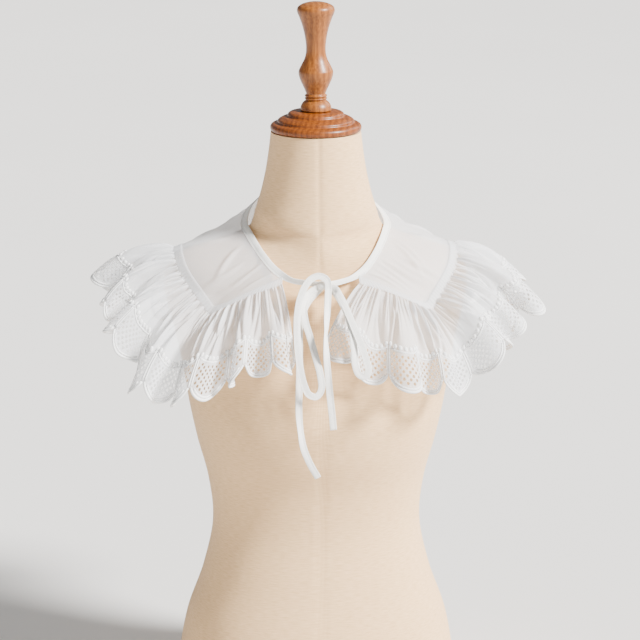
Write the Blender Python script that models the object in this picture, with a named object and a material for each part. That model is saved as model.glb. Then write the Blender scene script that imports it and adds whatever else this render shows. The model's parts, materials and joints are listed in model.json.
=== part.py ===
"""A ruffled lace collar, tied with a bow, on a limbless linen dress form.

Metres, +Z up, the front towards -Y. The origin is the middle of the form's flat underside.
The collar is cut as a yoke, a gathered lace ruffle in two halves, a neck binding and its ties.
"""

import math
from typing import NamedTuple

import bmesh
import bpy
import numpy as np

MM = 0.001

# Cloth
WALL = 1.0 * MM
SEAM_GAP = 0.3 * MM
YOKE_LIFT = 2.0 * MM
YOKE_COLUMNS_PER_LOBE = 2
YOKE_ROWS_ACROSS = 6
BINDING_WIDTH = 8.5 * MM
BINDING_WALL = 1.6 * MM

# Gathered lace strip
LOBES = 48
LOBE_PITCH = 52.0 * MM
LOBE_DEPTH = 17.0 * MM
STRIP_WIDTH = 112.0 * MM
SEAM_PITCH = 17.0 * MM
MIDDLE_GAP = 0.45 * MM
COLUMNS_PER_LOBE = 8
GATHERS_PER_LOBE = 2
STRIP_ROWS = (0.0, 0.1, 0.28, 0.5, 0.7, 0.87, 1.0)
SEAM_START = 0.9 * MM
GATHER_AT_SEAM = 0.7 * MM
GATHER_HEIGHT = 2.3 * MM
GATHER_FADE = 0.72
GATHER_CHANGE = 0.3
GATHER_RATE = 2.3
FOLD_FADE_IN = 1.15
FADE_IN_CHANGE = 0.3
FADE_IN_RATE = 1.9
FOLD_MIDDLE = 15.0 * MM
FOLD_FLATNESS = 1.45
TIGHTEST_SWING = 1.9
SAMPLES_PER_LOBE = 40

# Ties
TIE_WIDTH = 8.0 * MM
TIE_WALL = 1.2 * MM
TIE_STEP = 5.0 * MM
TIE_REACH = 6.5 * MM
TIE_SMOOTHING = 6
BRIDGE_WIDTH = 6.0 * MM
KNOT_PLACE = (1.0 * MM, -92.8 * MM, 503.6 * MM)
KNOT_SIZE = (13.0 * MM, 9.6 * MM, 10.0 * MM)

# Dress form
FORM_SIDES = 48
TURNED_SIDES = 32
ROUNDED_FROM = math.radians(50)

# Finishes
LINEN_COLOUR = (0.82, 0.70, 0.56)
WOOD_COLOUR = (0.56, 0.24, 0.09)
VOILE_COLOUR = (0.83, 0.84, 0.86)
LACE_COLOUR = (0.92, 0.92, 0.92)
TAPE_COLOUR = (0.90, 0.89, 0.86)
CLOTH_ROUGHNESS = 0.85
WOOD_ROUGHNESS = 0.35


class FormSection(NamedTuple):
    """A level section of the dress form, in mm."""

    height: float
    half_width: float
    front: float
    back: float
    squareness: float


FORM_SECTIONS = (
    FormSection(0.0, 160.0, 103.0, 112.0, 2.2),
    FormSection(45.0, 158.0, 103.0, 116.0, 2.2),
    FormSection(95.0, 149.0, 99.0, 109.0, 2.2),
    FormSection(150.0, 130.0, 90.0, 88.0, 2.2),
    FormSection(212.0, 118.0, 84.0, 72.0, 2.2),
    FormSection(262.0, 123.0, 93.0, 74.0, 2.2),
    FormSection(310.0, 135.0, 112.0, 82.0, 2.2),
    FormSection(350.0, 143.0, 120.0, 90.0, 2.3),
    FormSection(395.0, 150.0, 111.0, 96.0, 2.4),
    FormSection(435.0, 158.0, 96.0, 98.0, 2.4),
    FormSection(468.0, 166.0, 83.0, 97.0, 2.3),
    FormSection(494.0, 169.0, 73.0, 93.0, 2.1),
    FormSection(510.0, 163.0, 68.5, 88.0, 1.8),
    FormSection(521.0, 150.0, 66.0, 84.0, 1.5),
    FormSection(532.0, 122.0, 64.5, 80.0, 1.3),
    FormSection(540.0, 96.0, 63.0, 77.0, 1.3),
    FormSection(547.0, 77.0, 61.5, 74.5, 1.5),
    FormSection(555.0, 71.0, 60.0, 72.0, 1.8),
    FormSection(567.0, 67.5, 57.5, 69.0, 2.0),
    FormSection(582.0, 62.5, 55.0, 65.0, 2.0),
    FormSection(604.0, 57.0, 52.0, 57.0, 2.0),
    FormSection(630.0, 52.5, 49.5, 52.0, 2.0),
    FormSection(654.5, 49.5, 48.0, 49.5, 2.0),
)


class TurnedPoint(NamedTuple):
    """A point on a turned wooden piece, in mm."""

    radius: float
    height: float


CAP_PROFILE = (
    TurnedPoint(46.0, 654.8), TurnedPoint(49.3, 656.3), TurnedPoint(50.2, 659.0), TurnedPoint(49.4, 661.8),
    TurnedPoint(46.6, 663.8), TurnedPoint(43.2, 664.4), TurnedPoint(42.3, 665.2), TurnedPoint(41.8, 667.0),
    TurnedPoint(39.0, 669.2), TurnedPoint(35.0, 670.9), TurnedPoint(32.2, 671.4), TurnedPoint(31.3, 672.2),
    TurnedPoint(30.6, 674.2), TurnedPoint(28.4, 676.0), TurnedPoint(25.0, 676.9),
)
FINIAL_PROFILE = (
    TurnedPoint(12.0, 677.2), TurnedPoint(15.6, 678.9), TurnedPoint(17.0, 681.8), TurnedPoint(16.0, 684.9),
    TurnedPoint(13.2, 686.9), TurnedPoint(10.8, 687.5), TurnedPoint(12.2, 689.3), TurnedPoint(10.9, 691.0),
    TurnedPoint(12.2, 692.8), TurnedPoint(10.8, 694.6), TurnedPoint(11.4, 698.5), TurnedPoint(14.6, 706.0),
    TurnedPoint(17.8, 713.5), TurnedPoint(19.0, 720.5), TurnedPoint(17.6, 727.5), TurnedPoint(14.0, 734.5),
    TurnedPoint(11.4, 741.0), TurnedPoint(10.7, 747.0), TurnedPoint(11.6, 756.0), TurnedPoint(14.4, 769.0),
    TurnedPoint(18.2, 780.0), TurnedPoint(20.5, 785.6), TurnedPoint(20.7, 788.2), TurnedPoint(19.3, 791.3),
    TurnedPoint(15.0, 794.0), TurnedPoint(8.0, 795.7),
)


class YokeStation(NamedTuple):
    """One cut across the right half of the yoke, in mm: its seam edge and its neck edge."""

    seam_x: float
    seam_y: float
    seam_z: float
    neck_x: float
    neck_y: float
    neck_z: float


YOKE_STATIONS = (
    YokeStation(42.0, -78.5, 502.0, 40.5, -71.5, 513.0),
    YokeStation(75.0, -80.0, 491.0, 50.0, -62.0, 520.5),
    YokeStation(98.0, -79.0, 480.5, 56.5, -54.0, 527.5),
    YokeStation(114.0, -76.0, 472.5, 60.5, -48.0, 532.0),
    YokeStation(121.0, -72.5, 470.0, 62.5, -44.5, 534.5),
    YokeStation(126.0, -66.0, 475.0, 64.0, -41.0, 536.5),
    YokeStation(137.5, -50.0, 488.5, 68.0, -31.5, 542.0),
    YokeStation(148.5, -29.0, 503.5, 72.0, -16.0, 547.5),
    YokeStation(157.0, 10.0, 522.0, 75.0, 6.0, 553.5),
    YokeStation(151.0, 45.0, 514.0, 70.0, 30.0, 563.0),
    YokeStation(138.0, 70.0, 501.0, 61.5, 46.0, 570.5),
    YokeStation(127.0, 83.0, 490.0, 54.0, 55.0, 575.0),
    YokeStation(122.0, 87.5, 486.5, 50.5, 58.5, 576.5),
    YokeStation(112.0, 91.0, 487.0, 46.0, 62.0, 577.5),
    YokeStation(60.0, 101.0, 491.0, 27.0, 70.0, 580.5),
    YokeStation(0.0, 104.0, 493.0, 0.0, 73.5, 581.5),
)


class FallStation(NamedTuple):
    """How the ruffle falls from the seam. Lobes count from the left front edge.

    Reach, drop and arch are in mm. Heading is in degrees: 0 is the front, 90 the left side.
    """

    lobe: float
    reach: float
    drop: float
    heading: float
    arch: float


FALL_STATIONS = (
    FallStation(0.0, 66.0, 84.0, -12.0, 7.0),
    FallStation(2.0, 64.0, 76.0, 8.0, 9.0),
    FallStation(3.6, 64.0, 90.0, 24.0, 10.0),
    FallStation(5.2, 74.0, 90.0, 46.0, 11.0),
    FallStation(6.6, 91.0, 92.0, 65.0, 12.0),
    FallStation(7.6, 72.0, 76.0, 71.0, 13.0),
    FallStation(8.6, 74.0, 68.0, 78.0, 13.0),
    FallStation(9.8, 79.0, 60.0, 84.0, 14.0),
    FallStation(11.5, 77.0, 48.0, 92.0, 14.0),
    FallStation(14.0, 80.0, 60.0, 108.0, 13.0),
    FallStation(17.0, 76.0, 76.0, 137.0, 11.0),
    FallStation(20.5, 66.0, 86.0, 164.0, 9.0),
    FallStation(24.0, 64.0, 88.0, 180.0, 8.0),
    FallStation(27.5, 66.0, 86.0, 196.0, 9.0),
    FallStation(31.0, 76.0, 76.0, 223.0, 11.0),
    FallStation(34.0, 78.0, 60.0, 252.0, 13.0),
    FallStation(36.5, 74.0, 60.0, 268.0, 14.0),
    FallStation(38.2, 74.0, 66.0, 277.0, 13.0),
    FallStation(39.8, 80.0, 60.0, 286.0, 12.0),
    FallStation(41.2, 78.0, 58.0, 299.0, 12.0),
    FallStation(42.4, 72.0, 64.0, 311.0, 11.0),
    FallStation(43.4, 68.0, 84.0, 324.0, 10.0),
    FallStation(44.4, 64.0, 88.0, 340.0, 10.0),
    FallStation(46.0, 66.0, 90.0, 368.0, 9.0),
    FallStation(48.0, 76.0, 62.0, 398.0, 7.0),
)


class Fold(NamedTuple):
    """A big fold of the hem: the lobes it takes, and how far its crest leans towards the right."""

    lobes: float
    lean: float


# In order from the left front edge round the back to the right front edge
FOLDS = (
    Fold(1.5, -0.15), Fold(1.4, 0.3), Fold(2.3, 0.2), Fold(1.6, -0.3), Fold(2.4, 0.25), Fold(1.6, -0.35),
    Fold(2.1, 0.3), Fold(2.0, -0.2), Fold(1.7, 0.3), Fold(2.3, 0.1), Fold(1.6, -0.3), Fold(2.0, 0.25),
    Fold(1.9, -0.2), Fold(1.6, 0.3), Fold(2.2, 0.15), Fold(1.7, -0.3), Fold(2.1, 0.25), Fold(1.6, -0.25),
    Fold(2.0, 0.2), Fold(1.5, -0.3), Fold(2.4, 0.2), Fold(1.4, -0.25), Fold(2.3, -0.25), Fold(1.3, 0.3),
    Fold(1.9, -0.2), Fold(1.6, 0.15),
)


class TapeKnot(NamedTuple):
    """A point on a tie's route, in mm, with the way its flat side faces, in degrees.

    Face 0 looks to the front, and 90 to the right. Clear is how far it stays in front of the ruffle.
    """

    x: float
    y: float
    z: float
    face: float
    clear: float


LOOP_LEFT = (
    TapeKnot(6.6, -98.2, 501.1, 5.0, 3.0),
    TapeKnot(5.0, -98.4, 510.6, 2.0, 3.0),
    TapeKnot(-3.1, -99.0, 515.3, 0.0, 3.0),
    TapeKnot(-11.7, -100.0, 512.8, -5.0, 3.0),
    TapeKnot(-18.2, -102.0, 505.6, -10.0, 3.0),
    TapeKnot(-23.9, -107.0, 493.5, -8.0, 6.0),
    TapeKnot(-27.8, -118.0, 477.7, -4.0, 6.0),
    TapeKnot(-29.2, -132.0, 459.4, 0.0, 6.0),
    TapeKnot(-28.4, -144.0, 440.7, 0.0, 6.0),
    TapeKnot(-26.2, -150.0, 422.6, 0.0, 6.0),
    TapeKnot(-22.6, -152.0, 408.7, 0.0, 5.0),
    TapeKnot(-16.8, -152.0, 398.1, 0.0, 4.0),
    TapeKnot(-9.3, -151.0, 396.5, 0.0, 3.0),
    TapeKnot(-4.6, -151.0, 404.1, 0.0, 3.0),
    TapeKnot(-5.4, -150.0, 418.6, 0.0, 3.0),
    TapeKnot(-9.9, -142.0, 436.8, 0.0, 3.0),
    TapeKnot(-14.9, -125.0, 455.0, 0.0, 3.0),
    TapeKnot(-19.5, -113.0, 470.7, 2.0, 3.0),
    TapeKnot(-19.9, -103.0, 483.5, 4.0, 3.0),
    TapeKnot(-15.2, -97.0, 494.1, 6.0, 2.0),
)
TAIL_LEFT = (
    TapeKnot(-3.0, -92.8, 498.6, 0.0, 2.0),
    TapeKnot(-14.5, -95.0, 486.9, 0.0, 2.0),
    TapeKnot(-23.2, -104.0, 470.5, 0.0, 2.0),
    TapeKnot(-25.8, -120.0, 452.7, 0.0, 2.0),
    TapeKnot(-26.7, -134.0, 434.5, 0.0, 2.0),
    TapeKnot(-27.3, -142.0, 414.7, 0.0, 2.0),
    TapeKnot(-28.0, -145.0, 394.5, 0.0, 2.0),
    TapeKnot(-28.0, -144.0, 374.2, 10.0, 2.0),
    TapeKnot(-26.3, -142.0, 354.5, 30.0, 2.0),
    TapeKnot(-23.0, -140.0, 335.8, 10.0, 2.0),
    TapeKnot(-15.9, -138.0, 316.9, -5.0, 2.0),
    TapeKnot(-7.2, -137.0, 300.4, -10.0, 2.0),
)
TAIL_RIGHT = (
    TapeKnot(6.6, -98.2, 500.0, 5.0, 2.0),
    TapeKnot(5.1, -106.0, 481.6, 10.0, 2.0),
    TapeKnot(3.0, -121.0, 468.0, 25.0, 2.0),
    TapeKnot(1.0, -141.0, 455.8, 45.0, 2.0),
    TapeKnot(1.1, -147.0, 439.9, 25.0, 2.0),
    TapeKnot(2.9, -144.5, 418.4, 5.0, 2.0),
    TapeKnot(5.0, -144.0, 395.8, 0.0, 2.0),
    TapeKnot(7.3, -143.0, 374.7, 0.0, 2.0),
    TapeKnot(9.1, -142.0, 355.9, 0.0, 2.0),
)
LOOP_RIGHT = (
    TapeKnot(9.3, -92.6, 500.8, 10.0, 2.0),
    TapeKnot(16.6, -97.0, 492.5, 12.0, 2.0),
    TapeKnot(21.8, -106.5, 484.5, 12.0, 2.0),
    TapeKnot(26.8, -124.0, 472.7, 10.0, 2.0),
    TapeKnot(29.8, -140.0, 458.3, 8.0, 2.0),
    TapeKnot(30.6, -150.0, 443.5, 5.0, 2.0),
    TapeKnot(31.2, -156.0, 430.9, 5.0, 2.0),
    TapeKnot(35.3, -158.0, 421.4, 5.0, 2.0),
    TapeKnot(41.2, -158.0, 419.1, 5.0, 2.0),
    TapeKnot(44.9, -158.0, 424.5, 5.0, 3.0),
    TapeKnot(42.9, -156.0, 436.1, 5.0, 4.0),
    TapeKnot(38.1, -149.0, 450.7, 8.0, 5.0),
    TapeKnot(32.2, -137.0, 465.1, 10.0, 5.0),
    TapeKnot(26.4, -122.0, 478.8, 12.0, 5.0),
    TapeKnot(20.6, -109.5, 491.0, 12.0, 5.0),
    TapeKnot(15.4, -98.5, 499.5, 10.0, 4.0),
)
BRIDGE_LEFT = (
    TapeKnot(-39.9, -75.6, 508.4, -20.0, 0.5),
    TapeKnot(-32.3, -78.7, 506.0, -20.0, 0.5),
    TapeKnot(-24.1, -83.0, 505.2, -16.0, 0.5),
    TapeKnot(-14.7, -88.5, 505.1, -10.0, 0.5),
    TapeKnot(-5.9, -92.5, 504.8, 0.0, 0.5),
)
BRIDGE_RIGHT = (
    TapeKnot(40.3, -75.3, 508.6, 20.0, 0.5),
    TapeKnot(31.5, -79.0, 506.5, 20.0, 0.5),
    TapeKnot(22.5, -84.0, 505.1, 14.0, 0.5),
    TapeKnot(14.0, -89.0, 504.4, 8.0, 0.5),
    TapeKnot(7.9, -92.5, 504.4, 0.0, 0.5),
)


def smooth_through(knots, values, at):
    """Read a smooth curve through a few knots, with each knot's slope taken from its neighbours."""
    knots = np.asarray(knots, float)
    values = np.asarray(values, float)
    at = np.asarray(at, float)
    slopes = np.gradient(values, knots, axis=0)
    left = np.clip(np.searchsorted(knots, at, side="right") - 1, 0, len(knots) - 2)
    span = knots[left + 1] - knots[left]
    t = (at - knots[left]) / span
    if values.ndim > 1:
        span = span[..., None]
        t = t[..., None]
    start = (1 + 2 * t) * (1 - t) ** 2 * values[left] + t * (1 - t) ** 2 * span * slopes[left]
    end = t * t * (3 - 2 * t) * values[left + 1] + t * t * (t - 1) * span * slopes[left + 1]
    return start + end


def unit(vectors):
    """Scale rows of vectors to length 1."""
    return vectors / np.maximum(np.linalg.norm(vectors, axis=-1, keepdims=True), 1e-12)


FORM_HEIGHTS = np.array([row.height for row in FORM_SECTIONS]) * MM
FORM_VALUES = np.array([(row.half_width * MM, row.front * MM, row.back * MM, row.squareness)
                        for row in FORM_SECTIONS])


def form_level(points):
    """How far out of the form's own section each point lies: 1 is on the surface."""
    section = smooth_through(FORM_HEIGHTS, FORM_VALUES, points[..., 2])
    depth = np.where(points[..., 1] < 0, section[..., 1], section[..., 2])
    power = section[..., 3]
    total = np.abs(points[..., 0] / section[..., 0]) ** power + np.abs(points[..., 1] / depth) ** power
    return total ** (1 / power)


def lifted_off_form(points, lift):
    """Move points that lie nearer to the form than the lift out along its surface's slope."""
    probe = 0.5 * MM
    rounds = 4
    for _ in range(rounds):
        level = form_level(points)
        slope = np.stack([(form_level(points + probe * axis) - form_level(points - probe * axis)) / (2 * probe)
                          for axis in np.eye(3)], axis=-1)
        steepness = np.linalg.norm(slope, axis=-1)
        short = np.maximum(lift - (level - 1) / steepness, 0)
        points = points + unit(slope) * short[..., None]
    return points


def yoke_edges():
    """Both edges of the yoke from the left front round the back to the right front, by lobe."""
    half = np.array(YOKE_STATIONS) * MM
    left = half * np.array([-1, 1, 1, -1, 1, 1])
    rows = np.vstack([left, half[-2::-1]])
    steps = np.linalg.norm(np.diff(rows[:, :3], axis=0), axis=1)
    lobes = np.concatenate([[0], np.cumsum(steps)]) * LOBES / steps.sum()
    return lobes, rows


YOKE_LOBES, YOKE_ROWS = yoke_edges()
EDGE_LOBES = np.linspace(0, LOBES, LOBES * 16 + 1)
SEAM_EDGE = lifted_off_form(smooth_through(YOKE_LOBES, YOKE_ROWS[:, :3], EDGE_LOBES), YOKE_LIFT)
NECK_EDGE = lifted_off_form(smooth_through(YOKE_LOBES, YOKE_ROWS[:, 3:], EDGE_LOBES), YOKE_LIFT)
FALL_LOBES = np.array([row.lobe for row in FALL_STATIONS])
FALL_VALUES = np.array([row[1:] for row in FALL_STATIONS]) * np.array([MM, MM, 1, MM])


def seam_point(lobe):
    """The point of the yoke's outer edge at this lobe."""
    return smooth_through(EDGE_LOBES, SEAM_EDGE, lobe)


def neck_point(lobe):
    """The point of the neck edge at this lobe."""
    return smooth_through(EDGE_LOBES, NECK_EDGE, lobe)


def fall_point(lobe, depth):
    """The ruffle's mean surface: depth 0 is the seam and 1 the lobe tips."""
    lobe, depth = np.broadcast_arrays(lobe, depth)
    seam = seam_point(lobe)
    reach, drop, heading, arch = np.moveaxis(smooth_through(FALL_LOBES, FALL_VALUES, lobe), -1, 0)
    angle = np.radians(heading)
    out = np.stack([-np.sin(angle), -np.cos(angle), np.zeros_like(angle)], axis=-1)
    up = np.array([0.0, 0.0, 1.0])
    length = np.hypot(reach, drop)
    hem = seam + reach[..., None] * out - drop[..., None] * up
    bulge = (drop / length)[..., None] * out + (reach / length)[..., None] * up
    middle = (seam + hem) / 2 + 2 * arch[..., None] * bulge
    t = depth[..., None]
    return (1 - t) ** 2 * seam + 2 * t * (1 - t) * middle + t * t * hem


def fall_normal(lobe, depth):
    """The outward normal of the ruffle's mean surface."""
    step = 0.05
    along = fall_point(lobe + step, depth) - fall_point(lobe - step, depth)
    down = fall_point(lobe, depth + step) - fall_point(lobe, depth - step)
    return unit(np.cross(along, down))


def turning(fractions):
    """How a fold's cloth turns out and back along its width, flat at the crest and in the valleys."""
    wave = np.sin(2 * math.pi * fractions)
    return np.sign(wave) * np.abs(wave) ** FOLD_FLATNESS


def meander(share):
    """The swing, in radians, of a fold whose ends lie this share of its cloth apart."""
    low, high = 0.0, TIGHTEST_SWING
    samples = 64
    halvings = 30
    turns = turning((np.arange(samples) + 0.5) / samples)
    for _ in range(halvings):
        swing = (low + high) / 2
        if np.cos(swing * turns).mean() > share:
            low = swing
        else:
            high = swing
    return swing


def hem_folds():
    """Work out the hem's folds: for strip positions in lobes, the place along the hem and the height."""
    place, height, strip = [0.0], [0.0], [0.0]
    start = 0.0
    for width, lean in FOLDS:
        count = int(round(width * SAMPLES_PER_LOBE))
        fractions = (np.arange(count) + 0.5) / count
        hem = fall_point(np.linspace(start, start + width, count), 1.0)
        spacing = np.linalg.norm(np.diff(hem, axis=0), axis=1).sum()
        swing = meander(min(spacing / (width * LOBE_PITCH), 1.0))
        turn = swing * turning(fractions)
        forward = np.cumsum(np.cos(turn)) / np.cos(turn).sum()
        rise = np.cumsum(np.sin(turn)) * width * LOBE_PITCH / count
        place.extend(start + width * forward + lean * rise * width / spacing)
        height.extend(rise)
        strip.extend(start + width * (np.arange(count) + 1) / count)
        start += width
    return np.array(strip), np.array(place), np.array(height)


FOLD_STRIP, FOLD_PLACE, FOLD_HEIGHT = hem_folds()


def ruffle_point(strip, depth):
    """The folded cloth: strip is the place along the flat strip in lobes, depth runs from seam to tip."""
    strip, depth = np.broadcast_arrays(strip, depth)
    grown = depth ** (FOLD_FADE_IN + FADE_IN_CHANGE * np.sin(FADE_IN_RATE * strip))
    lobe = strip + (np.interp(strip, FOLD_STRIP, FOLD_PLACE) - strip) * grown
    fold = (np.interp(strip, FOLD_STRIP, FOLD_HEIGHT) - FOLD_MIDDLE) * grown
    swell = np.clip(depth / STRIP_ROWS[1], 0, 1)
    fade = np.clip(1 - depth / GATHER_FADE, 0, 1)
    gather = (GATHER_AT_SEAM + (GATHER_HEIGHT - GATHER_AT_SEAM) * swell) * fade
    uneven = 1 + GATHER_CHANGE * np.sin(GATHER_RATE * strip)
    gather = gather * uneven * np.sin(2 * math.pi * GATHERS_PER_LOBE * strip)
    return fall_point(lobe, depth) + fall_normal(lobe, depth) * (fold + gather)[..., None]


def scallop(strip):
    """How far the hem lies short of the lobe tips: 0 at a tip and 1 in a notch."""
    half = LOBE_PITCH / 2
    radius = (half * half + LOBE_DEPTH * LOBE_DEPTH) / (2 * LOBE_DEPTH)
    across = (strip - np.floor(strip) - 0.5) * LOBE_PITCH
    sag = radius - np.sqrt(radius * radius - across * across)
    return sag / LOBE_DEPTH


def new_material(name, colour, roughness):
    """A plain finish for one piece."""
    material = bpy.data.materials.new(name)
    material.use_nodes = True
    shader = material.node_tree.nodes["Principled BSDF"]
    shader.inputs["Base Color"].default_value = (*colour, 1.0)
    shader.inputs["Roughness"].default_value = roughness
    shader.inputs["Metallic"].default_value = 0.0
    return material


def add_object(name, mesh, colour, roughness):
    """Put a finished mesh into the scene as one named piece."""
    body = bpy.data.objects.new(name, mesh)
    bpy.context.collection.objects.link(body)
    mesh.materials.append(new_material(name + "_finish", colour, roughness))
    mesh.shade_smooth()
    mesh.set_sharp_from_angle(angle=ROUNDED_FROM)
    return body


def mesh_of(shape, name):
    """Turn a bmesh into a mesh whose faces point outwards."""
    bmesh.ops.recalc_face_normals(shape, faces=shape.faces)
    mesh = bpy.data.meshes.new(name)
    shape.to_mesh(mesh)
    shape.free()
    return mesh


def ring_edges(shape, points, closed):
    """Add a row of vertices joined by edges, and give its edges back."""
    vertices = [shape.verts.new(point) for point in points]
    pairs = list(zip(vertices, vertices[1:]))
    if closed:
        pairs.append((vertices[-1], vertices[0]))
    return [shape.edges.new(pair) for pair in pairs]


def lofted(rows, closed):
    """Bridge rows of points into one skin."""
    shape = bmesh.new()
    rings = [ring_edges(shape, row, closed) for row in rows]
    for first, second in zip(rings, rings[1:]):
        bmesh.ops.bridge_loops(shape, edges=first + second)
    return shape, rings


def build_cloth(name, rows, wall, colour):
    """A panel through rows of points, given its wall on both sides of them."""
    shape, _ = lofted(rows, closed=False)
    body = add_object(name, mesh_of(shape, name), colour, CLOTH_ROUGHNESS)
    skin = body.modifiers.new("Wall", "SOLIDIFY")
    skin.thickness = wall
    skin.offset = 0.0
    skin.use_rim = True
    return body


def build_form():
    """The linen torso and neck of the dress form, closed and flat underneath."""
    angles = np.arange(FORM_SIDES) * 2 * math.pi / FORM_SIDES
    rows = []
    for height, (half_width, front, back, power) in zip(FORM_HEIGHTS, FORM_VALUES):
        across = np.sign(np.cos(angles)) * np.abs(np.cos(angles)) ** (2 / power)
        deep = np.sign(np.sin(angles)) * np.abs(np.sin(angles)) ** (2 / power)
        depth = np.where(deep < 0, front, back)
        rows.append(np.stack([half_width * across, depth * deep, np.full(FORM_SIDES, height)], axis=-1))
    shape, rings = lofted(rows, closed=True)
    for ring in (rings[0], rings[-1]):
        bmesh.ops.edgeloop_fill(shape, edges=ring)
    return add_object("form_torso", mesh_of(shape, "form_torso"), LINEN_COLOUR, CLOTH_ROUGHNESS)


def build_turned(name, profile):
    """A turned wooden piece: its profile spun about the form's upright axis."""
    shape = bmesh.new()
    points = [(0.0, profile[0].height), *profile, (0.0, profile[-1].height)]
    vertices = [shape.verts.new((radius * MM, 0.0, height * MM)) for radius, height in points]
    edges = [shape.edges.new(pair) for pair in zip(vertices, vertices[1:])]
    bmesh.ops.spin(shape, geom=vertices + edges, cent=(0, 0, 0), axis=(0, 0, 1), angle=2 * math.pi,
                   steps=TURNED_SIDES, use_merge=True)
    bmesh.ops.remove_doubles(shape, verts=shape.verts, dist=0.00001)
    return add_object(name, mesh_of(shape, name), WOOD_COLOUR, WOOD_ROUGHNESS)


def build_yoke():
    """The sheer yoke between the neck binding and the ruffle's seam."""
    lobes = np.linspace(0, LOBES, LOBES * YOKE_COLUMNS_PER_LOBE + 1)
    neck, seam = neck_point(lobes), seam_point(lobes)
    inner = neck + unit(seam - neck) * (BINDING_WIDTH + SEAM_GAP)
    rows = [lifted_off_form(inner + (seam - inner) * share, YOKE_LIFT)
            for share in np.linspace(0, 1, YOKE_ROWS_ACROSS)]
    return build_cloth("yoke", rows, WALL, VOILE_COLOUR)


def build_binding():
    """The folded tape that binds the neck edge, in line with the yoke."""
    lobes = np.linspace(0, LOBES, LOBES * YOKE_COLUMNS_PER_LOBE + 1)
    neck, seam = neck_point(lobes), seam_point(lobes)
    along = unit(seam - neck)
    rows = [lifted_off_form(neck + along * reach, YOKE_LIFT + (BINDING_WALL - WALL) / 2)
            for reach in (0, BINDING_WIDTH)]
    return build_cloth("neck_binding", rows, BINDING_WALL, TAPE_COLOUR)


def build_ruffle(name, first_lobe, last_lobe, start_gap, end_gap):
    """Half of the gathered lace ruffle: a scalloped strip drawn up along the yoke's edge."""
    count = int(round((last_lobe - first_lobe) * COLUMNS_PER_LOBE)) + 1
    strip = np.linspace(first_lobe, last_lobe, count)
    inner = strip.copy()
    inner[0] += start_gap
    inner[-1] -= end_gap
    short = scallop(strip) * LOBE_DEPTH / STRIP_WIDTH
    head = SEAM_START / STRIP_WIDTH
    rows = []
    for share in STRIP_ROWS:
        depth = head + (1 - head - short * share ** 2) * share
        rows.append(ruffle_point(inner, depth))
    return build_cloth(name, rows, WALL, LACE_COLOUR)


def front_cloth():
    """Points all over the ruffle's two front ends, which the ties lie on."""
    covered = 4
    ends = np.linspace(0, covered, covered * SAMPLES_PER_LOBE // 2)
    strip, depth = np.meshgrid(np.concatenate([ends, LOBES - ends]), np.linspace(0, 1, SAMPLES_PER_LOBE))
    return ruffle_point(strip.ravel(), depth.ravel() * (1 - scallop(strip.ravel()) * LOBE_DEPTH / STRIP_WIDTH))


def smooth_route(route, step):
    """Even points along a smooth curve through a tie's route, in front of the ruffle, and their facing."""
    knots = np.array(route) * np.array([MM, MM, MM, 1, MM])
    lengths = np.concatenate([[0], np.cumsum(np.linalg.norm(np.diff(knots[:, :3], axis=0), axis=1))])
    count = max(int(math.ceil(lengths[-1] / step)), 2) + 1
    values = smooth_through(lengths, knots, np.linspace(0, lengths[-1], count))
    points = values[:, :3]
    cloth = front_cloth()
    for i, point in enumerate(points):
        near = np.hypot(cloth[:, 0] - point[0], cloth[:, 2] - point[2]) < TIE_REACH
        if near.any():
            points[i, 1] = min(point[1], cloth[near, 1].min() - values[i, 4])
    for _ in range(TIE_SMOOTHING):
        eased = (points[:-2, 1] + 2 * points[1:-1, 1] + points[2:, 1]) / 4
        points[1:-1, 1] = np.minimum(points[1:-1, 1], eased)
    return points, np.radians(values[:, 3])


def build_tape(name, route, width=TIE_WIDTH):
    """A flat tie swept along its route."""
    points, face = smooth_route(route, TIE_STEP)
    along = unit(np.gradient(points, axis=0))
    front = np.stack([np.sin(face), -np.cos(face), np.zeros_like(face)], axis=-1)
    front = unit(front - along * (front * along).sum(axis=1, keepdims=True))
    side = np.cross(along, front)
    corners = ((1, 1), (1, -1), (-1, -1), (-1, 1))
    rows = []
    for i, point in enumerate(points):
        rows.append([point + side[i] * width / 2 * wide + front[i] * TIE_WALL / 2 * thick
                     for wide, thick in corners])
    shape, rings = lofted(rows, closed=True)
    for ring in (rings[0], rings[-1]):
        bmesh.ops.edgeloop_fill(shape, edges=ring)
    return add_object(name, mesh_of(shape, name), TAPE_COLOUR, CLOTH_ROUGHNESS)


def build_knot():
    """The small tight knot where the two ties cross."""
    shape = bmesh.new()
    bmesh.ops.create_icosphere(shape, subdivisions=3, radius=0.5)
    bmesh.ops.scale(shape, vec=KNOT_SIZE, verts=shape.verts)
    bmesh.ops.translate(shape, vec=KNOT_PLACE, verts=shape.verts)
    return add_object("bow_knot", mesh_of(shape, "bow_knot"), TAPE_COLOUR, CLOTH_ROUGHNESS)


def clear_scene():
    """Remove the scene's objects."""
    for body in list(bpy.data.objects):
        bpy.data.objects.remove(body, do_unlink=True)


def main():
    """Build every piece."""
    clear_scene()
    build_form()
    build_turned("form_neck_cap", CAP_PROFILE)
    build_turned("form_finial", FINIAL_PROFILE)
    build_yoke()
    build_binding()
    middle = LOBES / 2
    gap = MIDDLE_GAP / 2 / SEAM_PITCH
    build_ruffle("ruffle_left", 0, middle, 0, gap)
    build_ruffle("ruffle_right", middle, LOBES, gap, 0)
    build_tape("tie_left", BRIDGE_LEFT, BRIDGE_WIDTH)
    build_tape("tie_right", BRIDGE_RIGHT, BRIDGE_WIDTH)
    build_knot()
    build_tape("bow_loop_left", LOOP_LEFT)
    build_tape("bow_loop_right", LOOP_RIGHT)
    build_tape("tie_end_left", TAIL_LEFT)
    build_tape("tie_end_right", TAIL_RIGHT)


main()
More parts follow.
